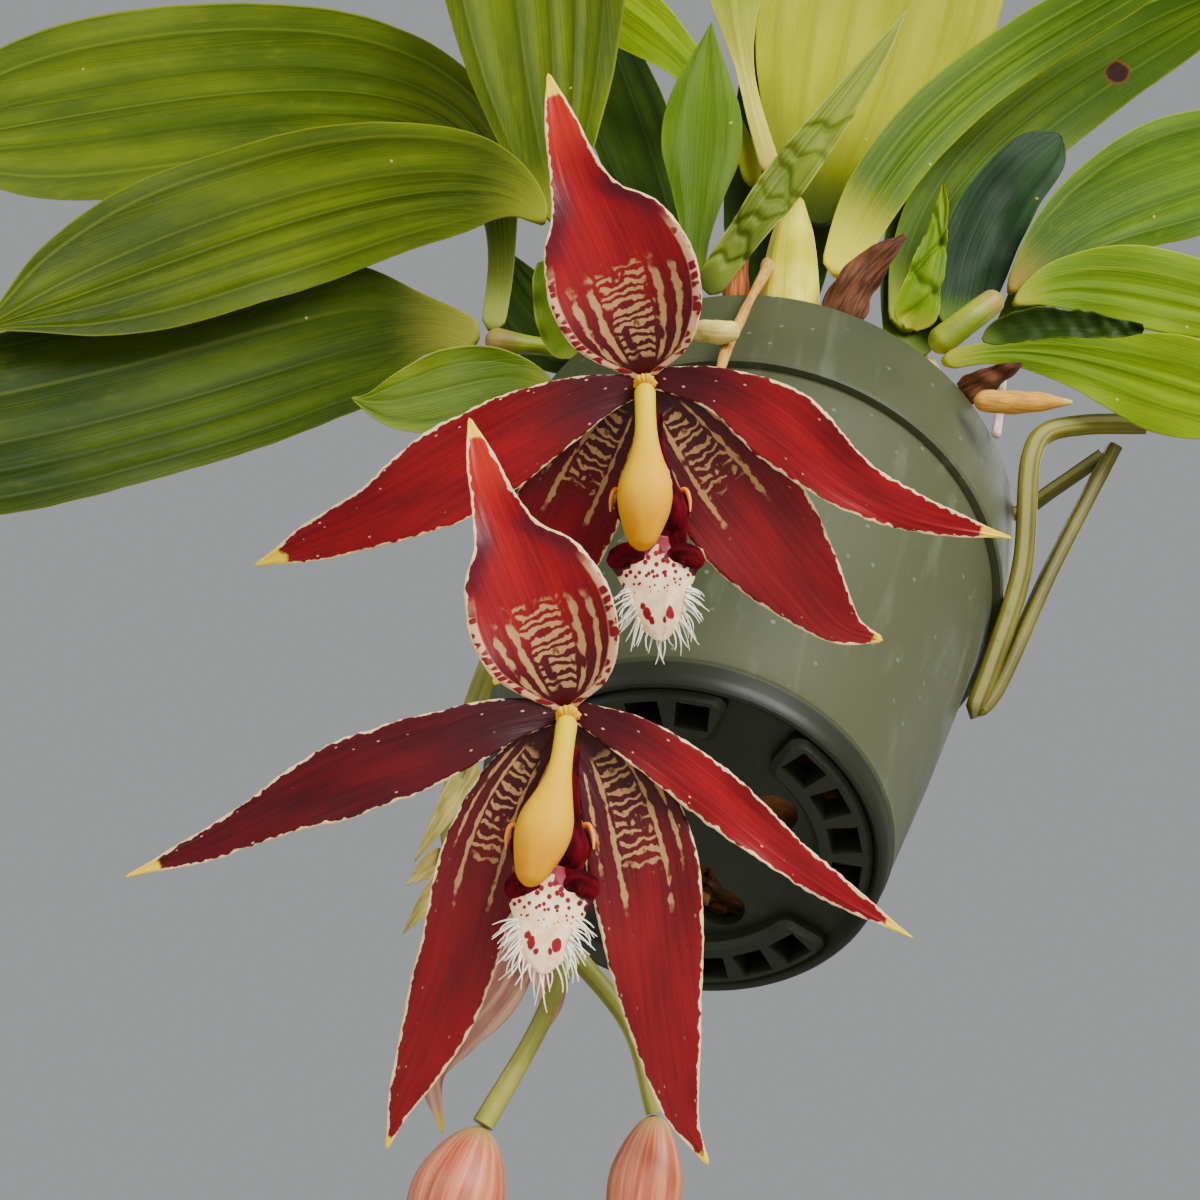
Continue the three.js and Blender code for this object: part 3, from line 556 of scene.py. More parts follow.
# %% [markdown]
# Some leaves have had a hard life. A relief function pushes dents into a blade: cross folds where a leaf was
# squeezed as it opened, a few bends where it crumpled, slow buckling, and the curl of a withered margin.

# %% Dents and folds
SQUEEZE_MARKS = [
    (0.1, 0.02), (0.17, -0.03), (0.23, 0.04), (0.3, 0.01), (0.37, -0.04), (0.45, 0.03), (0.56, 0.05),
]
CRUMPLE_MARKS = [(0.14, 0.16), (0.3, -0.06), (0.52, 0.2), (0.7, -0.14)]


def creases(t, s, marks, sharp):
    """Sharp valleys at the given (share, slope) places, as in paper that was bent there."""
    depth = np.zeros_like(t)
    for where, slope in marks:
        wander = 0.012 * np.sin(5 * s + 40 * where)
        depth -= np.exp(-(((t - where - slope * s - wander) / sharp) ** 2))
    return depth


def cross_folds(t, s, width):
    swell = 0.5 * np.sin(31 * t + 1.2 * s) * np.clip((0.62 - t) / 0.1, 0, 1)
    return 0.9 * creases(t, s, SQUEEZE_MARKS, 0.012) + swell


def crumple(t, s, width):
    return 0.9 * creases(t, s, CRUMPLE_MARKS, 0.035) + 0.9 * np.sin(6 * t + 2.4 * s) * s


def buckle(t, s, width):
    return 0.9 * np.sin(8 * t + 1.5 * s) + 0.35 * np.sin(17 * t - 2 * s)


def curl(t, s, width):
    return 0.7 * np.sin(24 * t + 2 * s) * t + 0.3 * np.sin(51 * t - 3 * s) * t


# %% [markdown]
# Each leaf is a row: its name, the way it is made, its green, its half width, its outline from root to tip,
# and its line. The big ones carry five keels, the small ones three. A little wave and an uneven margin keep
# them from looking cut from card.

# %% The big leaves and the fans
UNDERSIDE = (0, -0.6, -0.8)
WIDE = {
    "keels": 5, "fine": 8, "steps": 90, "ridge": 0.22, "pleat": 0.7, "wave": 0.9, "ragged": 0.12, "tooth": 5,
    "blunt": 3, "butt": 1.8, "front": UNDERSIDE,
}
SLIM = {**WIDE, "keels": 3, "steps": 70, "ridge": 0.12, "pleat": 0.4, "wave": 0.6, "ragged": 0.08}
SMOOTH = {**SLIM, "keels": 1, "fine": 20, "ridge": 0.08, "pleat": 0.9}
FOLDED = {**SMOOTH, "ridge": -0.15, "pleat": -1.2}
THICK_BASED = {**SMOOTH, "butt": 2.4}
HOLLOW = {**SMOOTH, "cup": 0.3}
LEAVES = [
    ("leaf_left_high", WIDE, "olive", 21.5, (0.12, 0.2, 0.6, 0.9, 1, 0.8, 0.03),
     [(-68, -17, 117), (-82, -63, 195), (-150, -25, 171), (-207, -11, 110)]),
    ("leaf_left_mid", WIDE, "lit", 16.8, (0.12, 0.65, 0.9, 1, 0.95, 0.65, 0.03),
     [(-64, -44, 119), (-81, -50, 142), (-130, -18, 124), (-159, -8, 64)]),
    ("leaf_left_low", WIDE, "deep", 18.4,
     (0.2, 0.36, 0.82, 0.93, 0.98, 1, 1, 1, 0.98, 0.92, 0.78, 0.48, 0.03),
     [(-70, -16, 112), (-94.5, -14.6, 126), (-121.3, 17.5, 100.8), (-184, 9.6, 23)]),
    ("leaf_left_small", FOLDED, "soft", 9, (0.25, 0.6, 0.9, 1, 0.85, 0.55, 0.03),
     [(-51, -13, 107), (-62, -18, 107), (-75, -9, 83), (-87, -13, 79)]),
    ("leaf_left_stub", HOLLOW, "soft", 5.2, (0.7, 0.9, 1, 1, 0.9, 0.8, 0.5),
     [(-49, -21, 111), (-53, -26, 111), (-57, -33, 112), (-60, -39, 114)]),
    ("leaf_top_left", WIDE, "lit", 20.5, (0.12, 0.48, 0.8, 1, 0.92, 0.6, 0.03),
     [(-60, -44, 121), (-70, -48, 142), (-90, -72, 190), (-112, -128, 196)]),
    ("leaf_top_yellow", THICK_BASED, "young", 9, (0.25, 0.27, 0.5, 0.85, 1, 0.7, 0.04),
     [(-25, -56, 146), (-37, -73, 165), (-80, -71, 197), (-115, -77, 183)]),
    ("leaf_top_stalked", THICK_BASED, "long_stalked", 9, (0.25, 0.22, 0.24, 0.5, 0.95, 0.8, 0.04),
     [(-22, -61, 143), (-41, -77, 170), (-41, -74, 194), (-59, -108, 208)]),
    ("leaf_back_wide", WIDE, "backlit", 29, (0.1, 0.55, 0.85, 1, 0.95, 0.65, 0.03),
     [(-10, -52, 146), (-10, -55, 182), (-6, -76, 240), (-24, -140, 262)]),
    ("leaf_lance", SMOOTH, "fresh", 8.4, (0.3, 0.34, 0.64, 1, 0.92, 0.5, 0.04),
     [(-30, -44, 112), (-34, -57, 124), (-42, -72, 145), (-45, -82, 159)]),
    ("leaf_dark_tall", SLIM, "shade", 9.5, (0.3, 0.6, 0.9, 1, 0.85, 0.55, 0.04),
     [(-31, -38, 121), (-49, -47, 161), (-65, -47, 192), (-89, -74, 221)]),
    ("leaf_dark_side", SLIM, "shade", 9.5, (0.3, 0.6, 0.9, 1, 0.85, 0.55, 0.04),
     [(-38, -33, 114), (-45, -18, 125), (-61, -8, 128), (-75, -25, 143)]),
    ("leaf_right_big", {**SLIM, "butt": 1.6}, "cream_based", 6.6, (0.62, 0.92, 1, 1, 0.95, 0.75, 0.04),
     [(-2.5, -55.2, 117.4), (-3, -81, 167), (33, -103, 185), (54, -132, 184)]),
    ("leaf_right_spot", SLIM, "spotted", 10.5, (0.35, 0.7, 0.95, 1, 0.9, 0.65, 0.04),
     [(15, -46, 124), (9, -66, 182), (50, -94, 207), (70, -123, 199)]),
    ("leaf_dark_middle", SLIM, "shade", 13, (0.4, 0.7, 0.95, 1, 0.85, 0.55, 0.04),
     [(-9, -33, 124), (-14, -34, 160), (-18, -42, 200), (-38, -60, 236)]),
    ("leaf_dark_right", SLIM, "shade", 11.5, (0.4, 0.75, 1, 1, 0.85, 0.55, 0.04),
     [(17, -42, 120), (14, -52, 152), (20, -70, 190), (32, -100, 210)]),
    ("leaf_right_dark", {**HOLLOW, "relief": buckle, "round_tip": 6}, "blue_green", 8,
     (0.5, 0.85, 1, 1, 0.9, 0.8, 0.5), [(25, -50, 123), (22, -63, 138), (24, -71, 150), (34, -82, 164)]),
    ("leaf_fan_upper", SLIM, "vivid", 13, (0.12, 0.5, 0.8, 1, 0.9, 0.6, 0.04),
     [(32, -61, 125), (40, -79, 145), (65, -90, 162), (95, -108, 152)]),
    ("leaf_fan_middle", SLIM, "young", 8.5, (0.15, 0.6, 0.9, 1, 0.85, 0.55, 0.04),
     [(33, -61, 120), (42, -72, 131), (73, -73, 125), (89, -78, 115)]),
    ("leaf_fan_lower", SLIM, "young", 10.2, (0.2, 0.25, 0.5, 0.8, 1, 0.75, 0.04),
     [(23, -49, 109), (44, -60, 121.4), (70, -57.6, 108.3), (84.3, -71.1, 92.4)]),
    ("leaf_fan_behind", SLIM, "fresh", 7, (0.25, 0.55, 0.9, 1, 0.85, 0.6, 0.04),
     [(34, -48, 128), (45, -60, 160), (46, -68, 186), (74, -84, 196)]),
]


def make_leaf(seed, name, make, green, half, outline, line):
    spec = {**make, "half": half, "outline": outline, "seed": seed}
    piece(name, [blade(bezier(line), spec)], name, LEAF_FINISHES[green])


for seed, leaf in enumerate(LEAVES):
    make_leaf(seed, *leaf)
print("leaves:", len(LEAVES))

# %% [markdown]
# The back bulb's leaves can't be seen in the picture. They are the same strap leaf, turned round the bulb, so
# that the plant looks whole from behind.

# %% Leaves behind
STRAP = (0.14, 0.16, 0.5, 0.9, 1, 0.7, 0.03)
STRAP_HALF, BACK_REACH, BACK_RISE = 13, 88, 105
for number, azimuth in enumerate((40, 95, 150), 1):
    x, y = math.cos(math.radians(azimuth)), math.sin(math.radians(azimuth))
    reaches = ((4.8, 1), (8, 0.6 * BACK_RISE), (0.6 * BACK_REACH, BACK_RISE), (BACK_REACH, 0.45 * BACK_RISE))
    line = [(5 + far * x, 17 + far * y, 124 + up) for far, up in reaches]
    make = {**WIDE, "front": (0.25 * x, 0.25 * y, -1)}
    make_leaf(30 + number, f"leaf_rear_{number}", make, "fresh", STRAP_HALF, STRAP, line)

# %% [markdown]
# Three leaves withered. One wilted as it opened, so its lower half is squeezed into cross folds. A small one
# crumpled, and a third curled up with a shrivelled edge. They are blades too, with the folds pushed into the
# surface as relief, and the leaf finish lays painted shade in the dents.

# %% Wilted leaves
LIMP = {"keels": 3, "fine": 5, "ridge": 0.3, "blunt": 3, "butt": 1.8, "front": UNDERSIDE}
WILTED = [
    ("leaf_shrivelled", {**LIMP, "steps": 140, "cup": 0.25, "relief": cross_folds}, "wilting", 4.4,
     (0.7, 0.8, 1, 0.9, 0.7, 0.45, 0.05),
     [(-27, -47, 108), (-23, -66, 109), (-11, -84, 142), (-7, -98, 159)]),
    ("leaf_crumpled", {**LIMP, "steps": 100, "cup": 0.3, "relief": crumple, "ragged": 0.3}, "young", 4.5,
     (0.9, 1, 0.8, 0.7, 0.45, 0.3, 0.06),
     [(14, -54, 108), (13, -62, 110), (14, -70, 121), (11, -76, 129)]),
    ("leaf_curled",
     {**LIMP, "keels": 1, "fine": 9, "steps": 90, "ridge": 0.0, "cup": 0.5, "relief": curl, "ragged": 0.5},
     "shade", 3.2, (0.5, 0.9, 1, 0.9, 0.8, 0.6, 0.3),
     [(28, -58, 105.5), (35, -67, 105.5), (43, -67, 104.5), (55, -72, 103.5)]),
]
for seed, leaf in enumerate(WILTED, 40):
    make_leaf(seed, *leaf)
print("wilted leaves:", len(WILTED))

# %% [markdown]
# Under the leaves sit the bulbs, fat and smooth like small onions, and short stalks that carry a leaf pair.
# They are rods with a swelling radius and a faint lengthwise rib.

# %% Bulbs and stalks
def fleshy_finish(name, base, tint, lines, knuckle=None):
    skin = Finish(name, base, 0.42, 0.25)
    ribs = skin.cloud(1.1, 0.02, 3.0, 2.0)
    skin.lay(skin.cloud(0.12, 0.08).fade(0.35, 0.65), tint)
    skin.lay(ribs.fade(0.5, 0.7) * 0.5, lines)
    if knuckle:
        skin.lay(skin.fields("along")[0].fade(0.6, 0.85), knuckle)
    return skin.done(ribs, 0.4, 0.4)


BULB_FINISH = fleshy_finish("bulb_skin", "#c0b40c", "#dcd23c", "#949c1c")
STALK_FINISH = fleshy_finish("stalk_skin", "#6c7a14", "#98a42c", "#54621a", "#96803a")
BULB_OUTLINE = (0.55, 0.9, 1, 0.92, 0.7, 0.3)
BULBS = {
    "bulb_left": ([(-35, -9, 92), (-40, -13, 103), (-47, -18, 116)], 6.5),
    "bulb_middle": ([(-26, -29, 92), (-27, -32, 102), (-29, -36, 113)], 5.5),
    "bulb_front": ([(-5, -40, 92), (-9, -46, 109), (-16, -61, 135)], 6.3),
    "bulb_right": ([(17, -38, 92), (19, -41, 102), (21, -46, 114)], 6.5),
    "bulb_back": ([(4, 12, 92), (4, 14, 104), (5, 17, 124)], 9),
}
STALKS = {
    "stalk_left": ([(-48, -19, 119), (-56, -17, 118), (-68.4, -16.1, 113.7)], (2.2, 2, 3.1)),
    "stalk_right": ([(20, -50, 111), (25, -56, 116), (30, -61, 122)], (3, 2.9, 2.6)),
}


def bulb_ribs(t, angle):
    return 1 + 0.035 * np.cos(7 * angle) * np.sin(math.pi * t)


for name, (points, fat) in BULBS.items():
    radii = [share * fat for share in BULB_OUTLINE]
    piece(name, [rod(points, radii, 48, 60, bulge=bulb_ribs)], name, BULB_FINISH)
for name, (points, radii) in STALKS.items():
    piece(name, [rod(points, radii, 24, 40)], name, STALK_FINISH)
print("bulbs and stalks:", len(BULBS) + len(STALKS))

# %% [markdown]
# Old sheaths dry to a brown paper with fibres, and old roots to cork. Their colour comes from a cloud
# stretched along the fibres, and a strong bump gives the dry surface.

# %% Sheaths, stub and roots
def dry_finish(name, dark, light, stretch, strength, tip=None):
    skin = Finish(name, dark, 0.85)
    fibres = skin.cloud(1.8, 1.8 / stretch, detail=5.0)
    skin.lay((skin.cloud(0.25, 0.12, 6.0) * 0.5 + fibres * 0.7).fade(0.42, 0.78), light)
    if tip:
        skin.lay(skin.fields("along")[0].fade(0.86, 1.0), tip)
    return skin.done(fibres, strength, 0.5)


ROOTS = {
    "root_orange": (
        [(29.5, -50.2, 94.5), (34, -52, 94.3), (39, -54, 94), (43, -55.8, 93.8), (46.8, -57.4, 93.6)],
        (1.9, 2.3, 2.2, 1.6, 0.4), dry_finish("root_orange_cork", "#b27422", "#d8a040", 5, 0.5, "#d8c050"),
    ),
    "root_pink": (
        [(36, -49, 115), (36.6, -46.4, 109), (37.4, -42.3, 98.7)],
        (0.8, 0.8, 1), dry_finish("root_pink_skin", "#b98478", "#ecd6cc", 6, 0.5),
    ),
    "root_thin": (
        [(-16.4, -51.5, 120.5), (-17.3, -54.1, 107), (-18.3, -54, 96), (-19.1, -53.5, 85), (-19.8, -53.3, 76),
         (-19.7, -53.3, 65)],
        (1.8, 1.2, 0.9, 1.0, 1.1, 0.9), dry_finish("root_thin_cork", "#a8742a", "#d0a04c", 5, 0.5),
    ),
    "root_club": (
        [(-18.8, -57.3, 75.5), (-21.6, -56.6, 74), (-25.2, -54.2, 76.2), (-31, -52, 77.5)],
        (1.9, 2.2, 1.9, 1.7), dry_finish("root_club_skin", "#c4a848", "#e4d078", 4, 0.4),
    ),
}


def knotty(t, angle):
    return 1 + 0.04 * np.sin(11 * t + angle) + 0.03 * np.sin(23 * t - 2 * angle)


for name, (points, radii, finish) in ROOTS.items():
    piece(name, [rod(points, radii, 24, 70, bulge=knotty)], name, finish)
stub = rod([(-19, -44, 99), (-21, -46, 112), (-24, -49, 126)], (2.6, 2.8, 2.7), 32, 40, (True, False), knotty)
stub_finish = dry_finish("stub_fibre", "#7a3410", "#c8743a", 18, 0.8, "#dca070")
piece("stem_stub", [stub], "stem_stub", stub_finish)

SHEATH = {
    "front": UNDERSIDE, "outline": (0.8, 1, 0.9, 0.8, 0.6, 0.4, 0.1), "cup": 0.3, "ragged": 0.5, "fine": 14,
    "relief": buckle, "thick": 0.3, "tooth": 3,
}
SHEATHS = {
    "sheath_front": ([(0, -50, 107), (0, -58, 110), (3, -64, 114), (7, -68, 118)], 4.5),
    "sheath_right": ([(29, -44, 108), (32, -48, 108), (34, -50, 109), (38, -54, 110)], 3),
}
sheath_finish = dry_finish("sheath_paper", "#301608", "#724426", 9, 0.6)
for name, (line, half) in SHEATHS.items():
    piece(name, [blade(bezier(line), {**SHEATH, "half": half})], name, sheath_finish)
print("roots and sheaths:", len(ROOTS) + len(SHEATHS) + 1)

# %% [markdown]
# The pot is injection-moulded plastic. Its wall is a profile turned round the axis, with a deep band under
# the rim that overhangs the wall. The base stands on four kidney-shaped pads, and slots are cut through them
# to drain. A turned profile is a lathe's work. The slots are cut by a boolean, because they have to go right
# through and show the bark behind.

# %% The pot's solids
RIM_RADIUS, POT_HEIGHT, BAND_HEIGHT = 55.0, 104.0, 24.7
BAND_FOOT_RADIUS, WALL_TOP_RADIUS, FOOT_RADIUS, WALL = 52.6, 50.4, 35.3, 2.0
FLOOR_UNDER, FLOOR_TOP, AXIS = 3.0, 5.0, 0.02
BAND_FOOT = POT_HEIGHT - BAND_HEIGHT
PROFILE = [
    (AXIS, FLOOR_UNDER), (31.6, FLOOR_UNDER), (32.2, 2.6), (33.1, 0.7), (33.6, 0.35), (34.2, 0.4),
    (34.8, 1.0), (35.2, 2.4), (35.6, 5.2), (35.95, 5.5), (36.1, 7.2), (42, 35), (49.6, BAND_FOOT - 4),
    (WALL_TOP_RADIUS, BAND_FOOT - 1.2), (WALL_TOP_RADIUS + 0.1, BAND_FOOT + 0.4),
    (BAND_FOOT_RADIUS - 0.5, BAND_FOOT), (BAND_FOOT_RADIUS, BAND_FOOT + 0.5),
    (RIM_RADIUS - 0.35, POT_HEIGHT - 1.2), (RIM_RADIUS - 0.4, POT_HEIGHT - 0.4),
    (RIM_RADIUS - 0.9, POT_HEIGHT), (RIM_RADIUS - WALL + 0.3, POT_HEIGHT),
    (RIM_RADIUS - WALL, POT_HEIGHT - 0.5), (BAND_FOOT_RADIUS - WALL, BAND_FOOT + WALL),
    (WALL_TOP_RADIUS - WALL, BAND_FOOT),
    (FOOT_RADIUS - WALL, FLOOR_TOP), (AXIS, FLOOR_TOP),
]


def bands(pairs, around):
    """Four-sided faces between pairs of rows, where each row is a loop of points."""
    starts = [(i * around, k * around) for i, k in pairs]
    loop = [(j, (j + 1) % around) for j in range(around)]
    return [(a + j, a + n, b + n, b + j) for a, b in starts for j, n in loop]


def bare_mesh(name, spots, faces):
    mesh = bpy.data.meshes.new(name)
    mesh.from_pydata(to_row(spots).tolist(), [], faces)
    return link(name, mesh)


def turned(name, profile, segments=160):
    """A profile of (radius, height) turned round the pot's axis, closed from its last point to its first."""
    angles = np.linspace(0, 2 * math.pi, segments, endpoint=False)
    spots = [(r * math.cos(a), r * math.sin(a), z) for r, z in profile for a in angles]
    count = len(profile)
    return bare_mesh(name, spots, bands([(i, (i + 1) % count) for i in range(count)], segments))


def prism(name, layers):
    """Stacked outlines of equal count, joined into one closed body."""
    count, last = len(layers[0]), len(layers) - 1
    ends = [tuple(range(count))[::-1], tuple(range(last * count, (last + 1) * count))]
    spots = [spot for layer in layers for spot in layer]
    return bare_mesh(name, spots, ends + bands([(i, i + 1) for i in range(last)], count))


def tidy_normals(made):
    bpy.context.view_layer.objects.active = made
    bpy.ops.object.mode_set(mode="EDIT")
    bpy.ops.mesh.select_all(action="SELECT")
    bpy.ops.mesh.normals_make_consistent(inside=False)
    bpy.ops.object.mode_set(mode="OBJECT")


def carve(body, tools, operation):
    """Joins or cuts a body with tools, and throws the tools away."""
    for tool in tools:
        tidy_normals(tool)
        work = body.modifiers.new(operation.lower(), "BOOLEAN")
        work.operation = operation
        work.solver = "EXACT"
        work.object = tool
        bpy.context.view_layer.objects.active = body
        bpy.ops.object.modifier_apply(modifier=work.name)
        bpy.data.objects.remove(tool, do_unlink=True)


# %% [markdown]
# A pad is a piece of a ring with round corners. Its outline is drawn once and shrunk for the chamfer. Four
# slots go through each pad, wider at the mouth, and a keyhole points to the middle beside each.

# %% Pads, slots and keyholes
PAD_MIDDLES = [53 + 90 * k for k in range(4)]
PAD_INNER, PAD_OUTER, PAD_HALF_ANGLE, PAD_CORNER = 23.0, 32.6, 34.0, 2.4
PAD_LAYERS = ((0.9, 0.0), (0, 1.1), (0, 4))
SLOT_RADIUS, SLOT_DEEP, SLOT_WIDE, SLOT_MOUTH = 28.3, 4.6, 5, 1.22
SLOT_ANGLES = (-24, -8, 8, 24)
KEYHOLE = ((17, 4.2, range(-150, 151, 15)), (9, 2, range(90, 271, 30)))
THROUGH = (-1, 9)


def on_ring(radius, angle, height):
    return (radius * math.cos(angle), radius * math.sin(angle), height)


def swung(spots, angle):
    """Flat spots turned about the pot's axis by so many degrees."""
    c, s = math.cos(math.radians(angle)), math.sin(math.radians(angle))
    return [(x * c - y * s, x * s + y * c) for x, y in spots]


def kidney(middle, inset, height):
    outline = []
    for radius, sign in ((PAD_OUTER - inset, 1), (PAD_INNER + inset, -1)):
        half = (PAD_HALF_ANGLE - math.degrees((PAD_CORNER + inset) / radius)) * sign
        turn = [math.radians(180 * (sign < 0)) + math.radians(a) for a in np.linspace(-90, 0, 6)]
        arc = [middle - half + 2 * half * share for share in np.linspace(0.08, 0.92, 14)]
        for end, quarter in ((middle - half, 0), (middle + half, math.pi / 2)):
            angle = math.radians(end)
            x, y, _ = on_ring(radius - PAD_CORNER * sign, angle, height)
            for step in turn:
                corner = on_ring(PAD_CORNER, angle + step + quarter, height)
                outline.append((x + corner[0], y + corner[1], height))
            if not quarter:
                outline += [on_ring(radius, math.radians(a), height) for a in arc]
    return outline


def slot_cutter(angle):
    def at(height, grow):
        x, y = SLOT_DEEP / 2 * grow, SLOT_WIDE / 2 * grow
        outline = [(SLOT_RADIUS + u * x, v * y) for u, v in ((-1, -1), (1, -1), (1, 1), (-1, 1))]
        return [(*spot, height) for spot in swung(outline, angle)]

    return prism("slot_cutter", [at(THROUGH[0], SLOT_MOUTH), at(0.9, 1.0), at(THROUGH[1], 1.0)])


def keyhole_cutter(angle):
    outline = []
    for far, radius, arc in KEYHOLE:
        for x, y, _ in (on_ring(radius, math.radians(a), 0) for a in arc):
            outline.append((far + x, y))
    spots = swung(outline, angle)
    return prism("keyhole_cutter", [[(*spot, height) for spot in spots] for height in THROUGH])


pot = turned("pot_body", PROFILE)
tidy_normals(pot)
pads = [prism("pad", [kidney(m, *layer) for layer in PAD_LAYERS]) for m in PAD_MIDDLES]
carve(pot, pads, "UNION")
cutters = [slot_cutter(m + step) for m in PAD_MIDDLES for step in SLOT_ANGLES]
cutters += [keyhole_cutter(m - 5) for m in PAD_MIDDLES]
carve(pot, cutters, "DIFFERENCE")
print("pot faces:", len(pot.data.polygons))

# %% [markdown]
# The plastic is a dark grey green with a satin skin. Dried water leaves pale specks and runs. The base faces
# down, away from the lamps, and is painted nearly black there as painted shade. All of it is laid on in the
# object's own space, the marks with clouds, weak enough that the wall still reads as one colour.

# %% Pot plastic
BASE_SHADE_LEVEL, BASE_SHADE_BLUR = (FLOOR_TOP - HANG_POINT[2]) / 1000, 0.0006
SHARP_ANGLE = math.radians(32)
plastic = Finish("pot_plastic_skin", "#343a24", 0.36)
plastic.lay(plastic.haze(14.0).fade(0.3, 0.7), "#464a30")
plastic.lay(plastic.haze(1.0, 4.0, (260.0, 260.0, 14.0)).fade(0.56, 0.78) * 0.3, "#6c745c")
plastic.lay(plastic.cells(plastic.space(), 210.0).fade(0.13, 0.05) * 0.45, "#7c846c")
# Painted shade: below the level of the pot's floor the plastic is darkened nearly to black.
level = plastic.add("SeparateXYZ", {0: plastic.space()}, output=2)
plastic.lay(level.fade(BASE_SHADE_LEVEL + BASE_SHADE_BLUR, BASE_SHADE_LEVEL - BASE_SHADE_BLUR) * 0.86, "#12150c")
rough = plastic.add("MapRange", {0: plastic.haze(60.0, 4.0), 1: 0.3, 2: 0.7, 3: 0.42, 4: 0.6})
plastic.feed(plastic.shader, "Roughness", rough)
pot.data.materials.append(plastic.done(plastic.haze(2400.0, 2.0), 0.12, 0.2))
settle(pot, "pot")
for polygon in pot.data.polygons:
    polygon.use_smooth = True
pot.data.set_sharp_from_angle(angle=SHARP_ANGLE)

# %% [markdown]
# The pot is filled with bark chips. A plain core fills it, and separate chips lie on top and show through the
# slots below. Each chip is a box with its corners softened and its faces pushed about, no two alike.

# %% Bark
GOLDEN_TURN = 2.39996


def bark_finish(name, dark, light):
    skin = Finish(name, dark, 0.92)
    layers = skin.haze(1.0, 6.0, (150.0, 900.0, 300.0))
    skin.lay((skin.haze(120.0) * 0.7 + layers * 0.5).fade(0.42, 0.8), light)
    return skin.done(layers, 0.9, 0.8)


PUSH_SHIFTS = [Vector(shift) for shift in ((0, 0, 0), (19.3, 31.7, 7.9), (43.1, 5.3, 27.7))]


def push(spot):
    """A soft random vector for a place. Blender's noise_vector isn't used, as it changes from run to run."""
    return [noise.noise(spot + shift) for shift in PUSH_SHIFTS]


def chip(centre, size, turn):
    """A bark chip: a box of small facets with pushed-in corners."""
    side = np.linspace(-1, 1, 6)
    rings = []
    for x in np.linspace(-1, 1, 7):
        round_off = 1 - 0.35 * abs(x) ** 5
        loop = [(s, -1) for s in side] + [(1, s) for s in side[1:]]
        loop += [(-s, 1) for s in side[1:]] + [(-1, -s) for s in side[1:-1]]
        rings.append([(x, y * round_off, z * round_off) for y, z in loop])
    spots = np.array(rings)
    shove = np.array([push(Vector(p) * 0.9 + Vector(centre)) for p in spots.reshape(-1, 3)])
    spots = (spots + 0.28 * shove.reshape(spots.shape)) * np.array(size) / 2
    return shell(spots @ np.array(turn) + np.array(centre), edge=9, keel=9, front=1)


def scattered_chips(count, radius, low, high, smallest, largest):
    chips = []
    for k in range(count):
        far = radius * math.sqrt((k + 0.5) / count)
        angle = GOLDEN_TURN * k + draw.uniform(-0.2, 0.2)
        turn = Matrix.Rotation(draw.uniform(0, 6.28), 3, "Z")
        turn = turn @ Matrix.Rotation(draw.uniform(-0.5, 0.5), 3, "X")
        size = draw.uniform(smallest, largest) * np.array([1, draw.uniform(0.5, 0.8), draw.uniform(0.3, 0.5)])
        chips.append(chip(on_ring(far, angle, draw.uniform(low, high)), size, turn))
    return chips


BARK_FINISH = bark_finish("bark_brown", "#3a2010", "#8a5a32")
PALE_BARK = bark_finish("bark_tan", "#a86f3a", "#e0b47c")
inside = [(AXIS, 8), (30, 8), (32, 12), (47, 72), (48.5, 90), (49, 96), (30, 97.5), (AXIS, 98.5)]
core = turned("bark_core", inside, 60)
tidy_normals(core)
core.data.materials.append(BARK_FINISH)
settle(core, "potting_mix")
for name, spread, finish in (
    ("bark_chips", (64, 46, 97.5, 100.2, 9, 15), BARK_FINISH),
    ("bark_in_slots", (80, 31, 7.2, 8.2, 3, 6), BARK_FINISH),
    ("tan_bark_bits", (9, 29, 6.6, 7.4, 3, 4.5), PALE_BARK),
):
    piece(name, scattered_chips(*spread), "potting_mix", finish)

# %% [markdown]
# The hanger is a flat strap of green plastic bent from one length: it grips the rim, runs down beside the
# wall, turns in a tight V and comes back up. A flat section with soft corners is swept along the bend, and
# its thin sides are painted paler, as painted highlight.

# %% Hanger
HANGER = [
    (66, -50, 111), (54, -46, 109), (47.5, -43, 106), (46, -40, 101), (50.8, -24, 84),
    (50.6, -9, 68), (50.5, -3, 62.5), (52.5, -5, 65), (57, -24, 88), (62.5, -43, 110.5),
]
HANGER_STRUT = [(61, -41, 109.5), (55, -31, 108), (50, -23, 107), (46, -21.5, 106.8), (44.6, -21, 99)]


def strap(points, wide, thin, steps):
    def bulge(t, angle):
        x, y = np.abs(np.cos(angle)) / wide, np.abs(np.sin(angle)) / thin
        return (x**5 + y**5) ** (-1 / 5)

    return rod(points, (1, 1), 40, steps, (False, False), bulge)


def strap_finish():
    skin = Finish("hanger_plastic", "#50480a", 0.45)
    scuffs = skin.haze(500.0, 4.0)
    thin_side = abs((skin.fields("across")[0] * math.pi).calc("SINE"))
    skin.lay(skin.haze(40.0).fade(0.35, 0.65), "#706a18")
    # Painted highlight: the thin sides of the strap are painted paler.
    skin.lay(thin_side.fade(0.8, 0.95) * 0.6, "#a4a468")
    skin.lay(scuffs.fade(0.58, 0.72) * 0.3, "#4a4a2c")
    return skin.done(scuffs, 0.2, 0.2)


straps = [strap(HANGER, 2.0, 1.4, 240), strap(HANGER_STRUT, 1.35, 1.2, 90)]
piece("hanger_strap", straps, "hanger", strap_finish())
